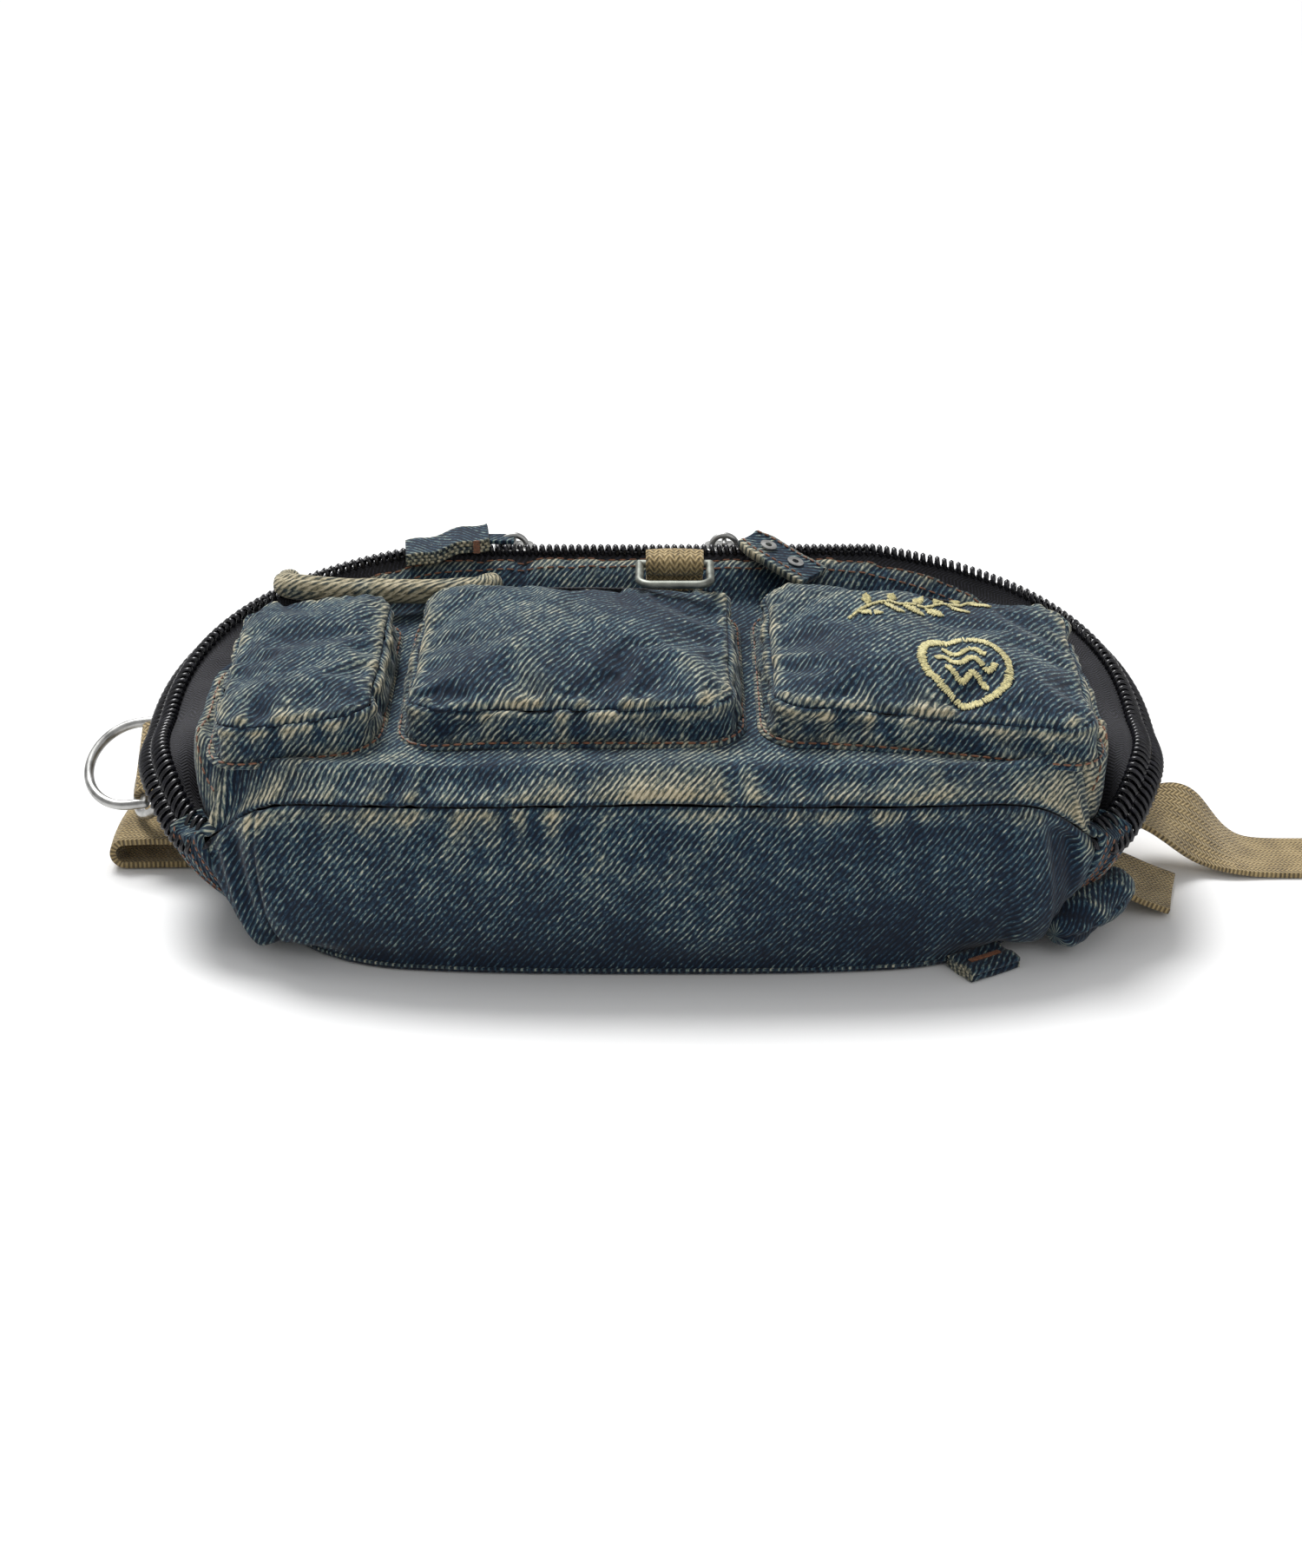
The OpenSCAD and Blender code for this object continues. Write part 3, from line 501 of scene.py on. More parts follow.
def gusset(name, start, end, seed, bulge, pleats, seam_along, belly):
    """One side wall between two angles, bulging a little, with gathers at all four of its seams.

    pleats is how deep the upright folds near its two ends are, seam_along places a join in its cloth, and
    belly is how far its two ends sag outwards over the back panel's corners.
    """
    length = 2.7 * abs(end - start)
    cols, rows = int(length / 1.1), 54
    t = np.radians(np.linspace(start, end, cols))[None, :]
    up = np.linspace(0, 1, rows)[:, None]
    top = rim_z(t) - 0.6 - (coil_w + 0.8) * zipped(t) - tape_w * bared(t)
    z = 0.6 + (top - 0.6) * up
    points = gusset_point(t, z, 0.2)
    steps = np.linalg.norm(np.diff(points[rows // 2], axis=0), axis=1)
    along = np.concatenate([[0], np.cumsum(steps)])[None, :] + up * 0
    below_top, above_foot = (1 - up) * (top - 0.6), up * (top - 0.6)
    side = np.minimum(along, along.max() - along)
    ridges = (gathers(along, below_top, gather_pitch, 15, seed)
              + 0.7 * gathers(along, above_foot, 11, 12, seed + 5)
              + 0.8 * gathers(above_foot, side, 10, 10, seed + 9))
    soft = noise(along, z, (34, 20), seed + 12)
    free = smooth(np.minimum(np.minimum(below_top, above_foot), side) / 6)
    roll = bell(below_top - 2.6, 2.2) + 0.7 * bell(side - 2.4, 2)
    folds = noise(along + 0.25 * z, z, (4.6, 70), seed + 20) * bell(side, 30) * pleats
    joined = np.abs(along - seam_along) if seam_along else side + 1000
    roll = roll + 0.8 * bell(joined - 2.6, 1.8) - 0.9 * bell(joined, 0.8)
    lift = (2.0 * ridges * (0.3 + 0.7 * free) + 1.3 * soft * free + bulge * np.sin(math.pi * up) + 0.9 * roll
            + 4.2 * folds * free + belly * bell(np.maximum(side - 14, 0), 26) * smooth(side / 13)
            * np.sin(math.pi * up ** 0.6))
    foot = smooth(above_foot / 9)
    points = points + normals(points) * (lift * foot)[..., None]
    points[..., 2] = np.maximum(points[..., 2], 0.5)
    seam_line = bell(below_top, 0.9) + bell(side, 0.8) + bell(joined, 0.7)
    # Wear and painted shade: paler along rubbed seams, ridges and folds; darker in the valleys between them
    # and in the seam grooves, as painted shade; darker towards the foot.
    wear_and_shade = (0.7 * bell(below_top, 5) + 0.45 * bell(side, 4) + 0.75 * ridges + 0.5 * folds
            + 0.35 * bell(joined, 4) + 0.3 * soft - 0.9 * seam_line - 0.3 * (1 - up) ** 2)
    made = cloth_patch(name, points, np.stack([along, above_foot], 2), wear_and_shade, denim_cloth, body_cloth_t,
                       lining=lining_cloth)
    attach(made, "pack")
    return made


zip_from, zip_to = -sag_at, 180 + sag_at
left_edge_angle, right_edge_angle = 136, 44
for side, start, end, seed, bulge, pleats, seam_along, belly in (
        ("bottom", zip_to, 360 + zip_from, 101, 2.0, 1.0, 24, 9),
        ("left", left_edge_angle, zip_to, 131, 1.5, 0.4, 0, 0),
        ("right", zip_from, right_edge_angle, 161, 1.5, 0.4, 0, 0),
        ("top", right_edge_angle, left_edge_angle, 191, 2.0, 0.4, 0, 0)):
    wall = gusset(f"gusset_{side}_denim", start, end, seed, bulge, pleats, seam_along, belly)
    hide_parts(f"gusset_{side}")

# ---- Pockets ----
# Three cargo pockets: a puffy denim face and a gusset, sewn together with a rolled seam and sewn down
# to the front panel by a flange. The cloth is settled by a cloth simulation before its seams are added.
slope = math.atan(panel_rise)
pocket_h = 14.5
pocket_r = 13
pocket_cloth_t, flange_w = 1.3, 2.6
# The simulated grid's cell, its last frame, the furthest that a point may move and the part of that it keeps.
coarse, settle_frames, most_moved, kept_of_move = 2.6, 20, 9, 0.7
# The accessory ring's weight dents the centre pocket here.
ring_dent = (7.5, 33)


def rounded_outline(x, y, w, l, r):
    """Moves the points of a rectangle's edge onto the same rectangle with rounded corners."""
    cx, cy = np.clip(x, r - w / 2, w / 2 - r), np.clip(y, r - l / 2, l / 2 - r)
    size = np.maximum(np.hypot(x - cx, y - cy), 1e-9)
    return cx + (x - cx) * r / size, cy + (y - cy) * r / size


def spindles(name, centres, along, up, length, radius, material):
    """Threads as small spindles: five-sided rings near both ends and a point at each end."""
    along = unit(along)
    side = unit(np.cross(up, along))
    over = np.cross(along, side)
    turn = np.arange(5) * 2 * math.pi / 5
    ring = side[:, None] * np.cos(turn)[None, :, None] + over[:, None] * np.sin(turn)[None, :, None]
    half = (along * length / 2)[:, None]
    mid = centres[:, None]
    points = np.concatenate([mid - half, mid - half * 0.6 + ring * radius, mid + half * 0.6 + ring * radius,
                             mid + half], 1)
    k = np.arange(5)
    n = (k + 1) % 5
    faces = np.concatenate([np.stack([k * 0, n + 1, k + 1], 1), np.stack([k + 1, n + 1, n + 6], 1),
                            np.stack([k + 1, n + 6, k + 6], 1), np.stack([k * 0 + 11, k + 6, n + 6], 1)])
    faces = (faces[None] + np.arange(len(centres))[:, None, None] * 12).reshape(-1, 3)
    mesh = bpy.data.meshes.new(name)
    mesh.from_pydata(points.reshape(-1, 3) * MM, [], faces)
    mesh.materials.append(material)
    piece = add_object(name, mesh)
    return piece


def resample(path, pitch):
    """Points every pitch along a path, with any further columns eased along with them."""
    run = lengths_along(path[:, :3])
    at = np.arange(pitch / 2, run[-1], pitch)
    return np.stack([np.interp(at, run, path[:, k]) for k in range(path.shape[1])], 1)


def stitch_row(name, path, up, material, pitch=3.4, length=2.6, radius=0.3):
    """A row of topstitch along a path that lies on the cloth."""
    both = resample(np.concatenate([path, np.broadcast_to(up, path.shape)], 1), pitch)
    centres, ups = both[:, :3], both[:, 3:]
    return spindles(name, centres, np.gradient(centres, axis=0), ups, length, radius, material)


def thread(name, colour):
    """Sewing thread: a soft shine and fine specks of darker and paler colour."""
    material = new_material(name, hex_colour(colour), 0.6, sheen=0.3)
    tree = material.node_tree
    place = add_node(tree, "TexCoord").outputs["Object"]
    speck = add_node(tree, "TexNoise", Vector=place, Scale=1400.0, Detail=1.0).outputs["Fac"]
    base = hex_colour(colour)
    dark, pale = tuple(c * 0.6 for c in base), tuple(min(c * 1.3, 1) for c in base)
    colour_from(tree, ramp(tree, speck, [(0.3, dark), (0.7, pale)]))
    return material


rust_thread = thread("rust_topstitch", "#77492d")


def pocket_start(w, l, h, r):
    """The flat-topped start of a pocket: a face grid and a skirt grid that meet at the face's rim."""
    n, m = round(w / coarse), round(l / coarse)
    u, v = np.meshgrid(np.linspace(-1, 1, n + 1), np.linspace(-1, 1, m + 1))
    ring = np.maximum(np.abs(u), np.abs(v))
    whole = np.maximum(ring, 1e-9)
    x, y = rounded_outline(u / whole * w / 2, v / whole * l / 2, w, l, r)
    crown = 2.5 * (1 - ring ** 4)
    face = np.stack([x * ring, y * ring, h + crown], 2)
    walk = np.concatenate([face[0, :-1], face[:-1, -1], face[-1, :0:-1], face[:0:-1, 0]])
    rows = round(h / coarse) + 1
    up = np.linspace(0, 1, rows)[:, None]
    return face, as_grid(walk[None, :, 0], walk[None, :, 1], up * h)


def settle(name, face, skirt, pressure, seed):
    """Lets the pocket's cloth fill and crumple: its foot is held, pressure lifts it, and its seam is drawn
    in a little, as a gathered seam is. Returns both grids moved part of the way to where they come to rest."""
    rows, cols = face.shape[:2]
    count = rows * cols
    index = np.arange(count).reshape(rows, cols)
    walk = np.concatenate([index[0, :-1], index[:-1, -1], index[-1, :0:-1], index[:0:-1, 0]])
    below = count + np.arange((skirt.shape[0] - 1) * skirt.shape[1]).reshape(skirt.shape[0] - 1, -1)
    strip = np.concatenate([below, walk[None, :]])
    quads = np.stack([index[:-1, :-1], index[:-1, 1:], index[1:, 1:], index[1:, :-1]], 2).reshape(-1, 4)
    turned = np.roll(strip, -1, 1)
    sides = np.stack([strip[:-1], turned[:-1], turned[1:], strip[1:]], 2).reshape(-1, 4)
    start = np.concatenate([face.reshape(-1, 3), skirt[:-1].reshape(-1, 3)])
    crumple = noise(start[:, 0], start[:, 1] + start[:, 2] * 1.7, 11, seed) * 0.2
    start[:, 2] += crumple * (start[:, 2] > 1)
    mesh = bpy.data.meshes.new(name)
    mesh.from_pydata(start * MM, [], np.concatenate([quads, sides]))
    piece = add_object(name, mesh)
    held = piece.vertex_groups.new(name="held")
    held.add(below[0].tolist(), 1.0, "REPLACE")
    drawn = piece.vertex_groups.new(name="drawn")
    drawn.add(walk.tolist(), 1.0, "REPLACE")
    cloth = piece.modifiers.new("cloth", "CLOTH")
    cloth.settings.quality = 6
    cloth.settings.mass = 0.25
    cloth.settings.tension_stiffness = cloth.settings.compression_stiffness = 30
    cloth.settings.bending_stiffness = 2.5
    cloth.settings.vertex_group_mass = "held"
    cloth.settings.use_pressure = True
    cloth.settings.uniform_pressure_force = pressure
    cloth.settings.vertex_group_shrink = "drawn"
    cloth.settings.shrink_min = -0.005
    cloth.settings.shrink_max = 0.05
    cloth.settings.effector_weights.gravity = 0
    cloth.point_cache.frame_end = 24
    for step in range(1, settle_frames + 1):
        bpy.context.scene.frame_set(step)
    settled = piece.evaluated_get(bpy.context.evaluated_depsgraph_get()).to_mesh()
    at = np.zeros(len(start) * 3, np.float32)
    settled.vertices.foreach_get("co", at)
    at = at.reshape(-1, 3) / MM
    bpy.data.objects.remove(piece)
    bpy.context.scene.frame_set(1)
    moved = at - start
    far = np.linalg.norm(moved, axis=1, keepdims=True)
    at = start + kept_of_move * moved * np.minimum(1, most_moved / np.maximum(far, 1e-9))
    return at[index], at[strip]


def cubic(a, b, c, d, f):
    """Eases from b to c as f goes from 0 to 1, with slopes that come from the neighbours a and d."""
    return b + 0.5 * f * (c - a + f * (2 * a - 5 * b + 4 * c - d + f * (3 * (b - c) + d - a)))


def finer(grid, times, wrap=False):
    """The same grid with more rows and columns, eased between its points by cubic interpolation."""
    for axis in (0, 1):
        around = wrap and axis == 1
        n = grid.shape[axis]
        at = np.arange(n * times if around else (n - 1) * times + 1) / times
        i = np.minimum(np.floor(at).astype(int), n - 1)
        f = (at - i).reshape((-1, 1, 1) if axis == 0 else (1, -1, 1))

        def pick(k):
            return np.take(grid, (i + k) % n if around else np.clip(i + k, 0, n - 1), axis=axis)
        grid = cubic(pick(-1), pick(0), pick(1), pick(2), f)
    return grid


def to_panel(points, x):
    """From a pocket's own axes to its place on the sloping front panel."""
    y, z = points[..., 1], points[..., 2]
    return np.stack([points[..., 0] + x, pocket_y + y * math.cos(slope) - z * math.sin(slope),
                     panel_z(pocket_y) + 0.1 + y * math.sin(slope) + z * math.cos(slope)
                     - droop(points[..., 0] + x)], -1)


def seam_distance(grid):
    """Distance of each row from the last row, measured along the columns."""
    steps = np.linalg.norm(np.diff(grid, axis=0), axis=2)
    return np.concatenate([np.cumsum(steps[::-1], 0)[::-1], np.zeros((1, grid.shape[1]))])


def pocket(side, seed, pressure):
    """One pocket: its face, its gusset, its flange, and the stitches that hold it down."""
    low, high = box_mm(f"pocket_{side}_gusset")
    w, x = high.x - low.x, (high.x + low.x) / 2
    face, skirt = pocket_start(w - 3, pocket_l - 3, pocket_h - 2.5, pocket_r - 1.5)
    face, skirt = settle(f"settle_{side}", face, skirt, pressure, seed)
    face, skirt = finer(face, 3), finer(skirt, 3, True)
    # The face, with its edge rolled over the seam and its gathers.
    fx, fy = face[..., 0], face[..., 1]
    edge = np.minimum(np.minimum(fx - fx.min(), fx.max() - fx), np.minimum(fy - fy.min(), fy.max() - fy))
    m, n = face.shape[:2]
    u, v = np.meshgrid(np.linspace(-1, 1, n), np.linspace(-1, 1, m))
    off = np.minimum((1 - np.abs(u)) * w / 2, (1 - np.abs(v)) * pocket_l / 2)
    along = np.where((1 - np.abs(u)) * w < (1 - np.abs(v)) * pocket_l, fy + 300 * np.sign(u), fx)
    ridges = gathers(along, off, 9, 11, seed)
    soft = noise(fx, fy, 24, seed + 20) + 0.5 * noise(fx + fy, fx - fy, (16, 60), seed + 21)
    roll = bell(off - 2.3, 2.0)
    under_ring = np.exp(-(((fx + x - ring_dent[0]) / 15) ** 2 + ((fy - ring_dent[1]) / 11) ** 2) ** 2)
    lift = (1.3 * ridges * smooth(off / 2) + 0.8 * soft * smooth(off / 9) * (1 - under_ring)
            - 1.6 * under_ring
            + 0.9 * roll - 0.5 * bell(off, 0.8))
    face = face + normals(face) * lift[..., None]
    # Wear and painted shade: paler along the rubbed rim and ridges; darker in the pucker valleys and the seam
    # groove at the rim, as painted shade.
    wear_and_shade = (0.08 + 0.8 * bell(off, 3.6) - 1.3 * bell(off, 0.8) + 0.7 * ridges + 0.36 * soft)
    made = cloth_patch(f"pocket_{side}_face_denim", to_panel(face, x), np.stack([fx, fy], 2), wear_and_shade,
                       denim_cloth, pocket_cloth_t)
    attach(made, "front")
    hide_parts(f"pocket_{side}_face")
    # The gusset, puckered at both seams.
    below_seam = seam_distance(skirt)
    steps = np.linalg.norm(np.roll(skirt[-1], -1, 0) - skirt[-1], axis=1)
    along = np.concatenate([[0], np.cumsum(steps)])
    walk = along[None, :-1] + below_seam * 0
    foot = below_seam[0][None, :] - below_seam
    ridges = gathers(walk, below_seam, 9, 9, seed + 30) + 0.8 * gathers(walk, foot, 10, 7, seed + 34)
    roll = bell(below_seam - 2.0, 1.8) + 0.5 * bell(foot - 2.0, 1.6)
    groove = bell(below_seam, 0.8) + bell(foot, 0.7)
    lift = 1.5 * ridges + 0.8 * roll - 0.5 * groove
    held = smooth(foot / 1.5)
    skirt = skirt + normals(skirt, True) * (lift * held)[..., None]
    # Wear and painted shade: paler along both rubbed seams and on the ridges; darker in the pucker valleys
    # and the seam grooves, as painted shade.
    wear_and_shade = (0.22 + 0.7 * bell(below_seam, 3.4) + 0.5 * bell(foot, 3) + 0.75 * ridges
            - 1.2 * groove)
    flat = as_grid(along[None, :], np.concatenate([foot, foot[:, :1]], 1))
    made = cloth_patch(f"pocket_{side}_gusset_denim", to_panel(skirt, x), flat, wear_and_shade,
                       denim_cloth, pocket_cloth_t, wrap=True)
    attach(made, "front")
    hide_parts(f"pocket_{side}_gusset")

    # The sewn flange: a narrow lip of denim round the foot, held down by one row of topstitch.
    rim_out = normals(skirt, True)[0]
    rim_out[:, 2] = 0
    rim_out = unit(rim_out)
    across = np.linspace(0, 1, 6)[:, None]
    lip = skirt[0][None] + rim_out[None] * (across * flange_w - 0.4)[..., None]
    frayed = 0.25 * noise(along[None, :-1] + 0 * across, across, (1.4, 1), seed + 50)
    lip[..., 2] = 1.0 - 0.9 * across ** 3 + frayed * across
    lip = lip[::-1]
    lip_wear = 0.55 + 0.6 * noise(along[None, :-1] + 0 * across, across, (5, 2), seed + 51)
    flat = as_grid(along[None, :], across * flange_w)
    made = cloth_patch(f"pocket_{side}_flange_denim", to_panel(lip, x), flat, lip_wear,
                       denim_cloth, 0.8, wrap=True)
    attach(made, "front")
    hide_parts(f"pocket_{side}_flange")
    foot_line = skirt[0] + rim_out * 1.2
    foot_line[:, 2] = 1.15
    made = stitch_row(f"pocket_{side}_topstitch", to_panel(foot_line, x), np.array([0, 0, 1.0]), rust_thread)
    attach(made, "front")
    return x, w, skirt


pocket_skirts = {}
for side, seed, pressure in (("left", 301, 5), ("centre", 401, 4), ("right", 502, 4)):
    pocket_skirts[side] = pocket(side, seed, pressure)

# ---- Main zip ----
# A coil zip: two rows of glossy black nylon loops that mesh along the rim, each sewn to a woven black
# tape. One tape is sewn under the front panel's edge, the other under the gussets'.
coil_pitch = 2.4
coil_half_w, coil_half_t, wire_half = 2.9, 1.55, 0.82


def coil_centre(t, row):
    """The middle of one coil row along the rim, the chain's outward normal and the way across it.

    row is -1 for the front row and 1 for the back one.
    """
    bulge = 3.2 * np.cos(t) ** 2
    ahead, behind = rim(t + 0.01, 0), rim(t - 0.01, 0)
    run = np.stack([ahead[0] - behind[0], ahead[1] - behind[1]], -1)
    run /= np.linalg.norm(run, axis=-1, keepdims=True)
    out = np.stack([run[..., 1], -run[..., 0], run[..., 0] * 0], -1)
    up = np.array([0, 0, 1.0])
    x, y = rim(t, 1.8)
    middle = np.stack([x, y, rim_z(t) + 0.8], -1) + out * bulge[..., None]
    normal = (out + up) * math.sqrt(0.5)
    across = (out - up) * math.sqrt(0.5)
    return middle + across * (row * 2.75), normal, across * row


def smooth_tube(name, path, outward, radius, sides, material):
    """A round tube along a path, with closed ends; outward fixes how its sides are turned."""
    run = unit(np.gradient(path, axis=0))
    one = unit(outward - run * np.sum(outward * run, 1, keepdims=True))
    two = np.cross(run, one)
    turn = np.arange(sides) * 2 * math.pi / sides
    size = np.broadcast_to(radius, (len(path),))[:, None, None]
    ring = one[:, None] * np.cos(turn)[None, :, None] + two[:, None] * np.sin(turn)[None, :, None]
    points = path[:, None] + ring * size
    index = np.arange(len(path) * sides).reshape(len(path), sides)
    turned = np.roll(index, -1, 1)
    quads = np.stack([index[:-1], turned[:-1], turned[1:], index[1:]], 2).reshape(-1, 4)
    mesh = bpy.data.meshes.new(name)
    ends = [index[0, ::-1].tolist(), index[-1].tolist()]
    mesh.from_pydata(points.reshape(-1, 3) * MM, [], quads.tolist() + ends)
    run_length = lengths_along(path)
    flat = as_grid(run_length[:, None], turn[None] * size[..., 0]).reshape(-1, 2)
    corner = np.zeros(len(mesh.loops), np.int32)
    mesh.loops.foreach_get("vertex_index", corner)
    mesh.uv_layers.new(name="weave").data.foreach_set("uv", (flat[corner] * MM).ravel().astype(np.float32))
    mesh.polygons.foreach_set("use_smooth", np.ones(len(mesh.polygons), bool))
    mesh.materials.append(material)
    piece = add_object(name, mesh)
    return piece


def black_nylon(name):
    """Moulded nylon: glossy, with faint scuffs that break up its shine."""
    material = new_material(name, hex_colour("#0f0f13"), 0.22)
    tree = material.node_tree
    place = add_node(tree, "TexCoord").outputs["Object"]
    scuff = add_node(tree, "TexNoise", Vector=place, Scale=420.0, Detail=3.0).outputs["Fac"]
    tree.links.new(maths(tree, "MULTIPLY_ADD", scuff, 0.35, 0.08),
                   tree.nodes["Principled BSDF"].inputs["Roughness"])
    colour_from(tree, ramp(tree, scuff, [(0.35, hex_colour("#0b0b0f")), (0.75, hex_colour("#1c1c24"))]))
    return material


def herringbone(name):
    """Black zip tape: fine slanted ribs that turn back on themselves every few threads."""
    material = new_material(name, hex_colour("#15151b"), 0.82, sheen=0.05)
    tree = material.node_tree
    flat = weave_in_mm(tree)
    parts = add_node(tree, "SeparateXYZ", Vector=flat)
    fold = maths(tree, "PINGPONG", parts.outputs["Y"], 2.2)
    slanted = maths(tree, "SINE", maths(tree, "MULTIPLY", maths(tree, "ADD", parts.outputs["X"], fold), 4.2))
    speck = add_node(tree, "TexNoise", Vector=flat, Scale=1.3, Detail=2.0).outputs["Fac"]
    # The colour follows the ribs: paler on their crests and darker in their hollows, as painted light and
    # shade, with random specks.
    shade = maths(tree, "MULTIPLY_ADD", slanted, 0.25, speck)
    colour_from(tree, ramp(tree, shade, [(0.25, hex_colour("#050508")), (0.6, hex_colour("#15151c")),
                                         (0.9, hex_colour("#34343f"))]))
    raise_by(tree, maths(tree, "MULTIPLY_ADD", slanted, 0.5, speck), 0.5, 0.3)
    return material


nylon = black_nylon("zip_nylon")
tape_cloth = herringbone("zip_tape_weave")


def coil_row(name, row, phase):
    """One row of loops: a helix with an oval section, one turn to each pitch of the rim."""
    t = np.radians(np.linspace(zip_from - 1, zip_to + 1, 4000))
    line = coil_centre(t, row)[0]
    run = lengths_along(line)
    turns = int(run[-1] / coil_pitch)
    at = np.linspace(0, run[-1], turns * 12)
    middle, normal, across = coil_centre(np.interp(at, run, t), row)
    angle = at / coil_pitch * 2 * math.pi + phase
    outward = (across * (np.cos(angle) * coil_half_w)[:, None]
               + normal * (np.sin(angle) * coil_half_t)[:, None])
    made = smooth_tube(name, middle + outward, outward, wire_half, 5, nylon)
    return made


coil_front = coil_row("zip_coil_front_loops", -1, 0)
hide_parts("zip_coil_front")
bend_at_hinge(coil_front)
coil_back = coil_row("zip_coil_back_loops", 1, math.pi)
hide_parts("zip_coil_back")
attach(coil_back, "pack")


def tape(name, row):
    """One woven tape, from under its coil to under the denim's edge, a little longer than the zip."""
    t = np.radians(np.linspace(zip_from - 5, zip_to + 5, 560))[None, :]
    across = np.linspace(0, 1, 12)[:, None]
    start = coil_centre(t[0], row)
    first = (start[0] + start[2] * 1.6 - start[1] * 1.3)[None]
    depth = 0.6 + (coil_w + 2.2) * zipped(t) + tape_w * bared(t)
    if row < 0:
        x, y = rim(t, depth)
        rise = smooth((depth - climb * zipped(t)) / climb)
        z = rim_z(t) * (1 - rise) + panel_z(y) * rise - droop(x) * smooth(depth / 18) - 0.5
        last = np.stack([x, y, z], 2)
    else:
        last = gusset_point(t, rim_z(t) - depth - 1.2, 0.9)
    points = first * (1 - across[..., None]) + last * across[..., None]
    points += (1.4 * np.sin(across * math.pi))[..., None] * start[1][None]
    ripple = 0.35 * noise(t * 130 + 0 * across, across * 8, (9, 6), 71 + row)
    points += normals(points) * (ripple * np.sin(across * math.pi))[..., None] * (-row)
    width = np.linalg.norm(last - first, axis=2)
    flat = as_grid(t * 130, across * width)
    if row > 0:
        points, flat = points[::-1], flat[::-1]
    made = cloth_patch(name, points, flat, np.zeros(points.shape[:2]), tape_cloth, 0.7)
    return made


tape_front = tape("zip_tape_front_weave", -1)
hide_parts("zip_tape_front")
bend_at_hinge(tape_front)
tape_back = tape("zip_tape_back_weave", 1)
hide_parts("zip_tape_back")
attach(tape_back, "pack")

# The denim beside the zip is folded under and held by two rows of topstitch.
for number, inset_of_row in enumerate((2.2, 6.0)):
    nearest = np.argmin(np.abs(from_edge - inset_of_row), axis=0)
    line = panel[nearest, np.arange(panel_columns)]
    line = line + normals(panel, True)[nearest, np.arange(panel_columns)] * 0.2
    past_seam = (np.degrees(turn[0]) % 360 + 90) % 360
    order = np.argsort(past_seam)
    kept = line[order][(past_seam[order] > 90 + zip_from) & (past_seam[order] < 90 + zip_to)]
    row = stitch_row(f"front_edge_topstitch_{number}", kept, np.array([0, 0, 1.0]), rust_thread)
    bend_at_hinge(row)


# ---- Zip end tabs ----
# At each lower corner a folded denim tab is sewn over the zip's last loops, with two rows of rusty thread.
def against_gusset(t_degrees, z, stand_off):
    """A place on the outside of a side wall: its point, its direction along the wall, and its outward one."""
    t = np.radians(np.array([[t_degrees - 1, t_degrees, t_degrees + 1]]))
    three = gusset_point(t, np.array([[z]]), -stand_off)[0]
    along = three[2] - three[0]
    along[2] = 0
    along /= np.linalg.norm(along)
    return three[1], along, np.array([along[1], -along[0], 0])


tab_half_angle, tab_foot_z, tab_turn, rim_radius = 5.2, 6, 0.72, 150


def end_tab(side, t_middle, seed):
    """A tab wrapped over the zip's end: it hugs the wall below and rolls over the rim above."""
    t = np.radians(np.linspace(t_middle - tab_half_angle, t_middle + tab_half_angle, 34))[None, :]
    up = np.linspace(0, 1, 40)[:, None]
    top = rim_z(t)
    z = tab_foot_z + (top + 1.5 - tab_foot_z) * np.minimum(up / tab_turn, 1)
    over = np.maximum(up - tab_turn, 0) / (1 - tab_turn)
    points = gusset_point(t, z, -2.6 - 1.2 * up)
    inward = -np.array([np.cos(math.radians(t_middle)), np.sin(math.radians(t_middle)), 0])
    points = points + inward * (over * 10)[..., None]
    points[..., 2] += np.sin(over * math.pi / 2) * 2.5
    edge = (1 - np.abs(np.linspace(-1, 1, 34)))[None, :] * 8
    wrinkle = noise(t * rim_radius + up * 3, up * 34, (5, 16), seed)
    lift = 0.9 * wrinkle + 0.8 * bell(edge - 1.4, 1.2) - 1.5 * bell(edge, 0.7)
    points = points + normals(points) * lift[..., None]
    # Wear and painted shade: paler along the rubbed edges and on the wrinkles' tops, with painted shade in
    # the wrinkles' hollows.
    wear_and_shade = 0.6 * bell(edge, 1.8) + 0.6 * wrinkle - 0.1
    made = cloth_patch(f"zip_end_{side}_denim", points, as_grid(t * rim_radius, up * 34), wear_and_shade,
                       denim_cloth, 2.0)
    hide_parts(f"zip_end_{side}")
    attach(made, "pack")
    for number, column in enumerate((6, 12, 21, 27)):
        line = points[8:30, column] + normals(points)[8:30, column] * 0.2
        row = stitch_row(f"zip_end_{side}_stitch_{number}", line, normals(points)[8:30, column], rust_thread,
                         2.6, 1.9, 0.28)
        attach(row, "pack")


end_tab("left", zip_to, 601)
end_tab("right", zip_from, 602)

# ---- Belt webbing and D rings ----
# Cotton belt webbing, khaki and coarse. On the left it goes from the gusset round the bars of two wire
# rings and back; a sewn end curls under them. On the right it runs to the surface and is rolled up.
belt_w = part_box("belt_right")[1].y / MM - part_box("belt_right")[0].y / MM
web_t = 1.9


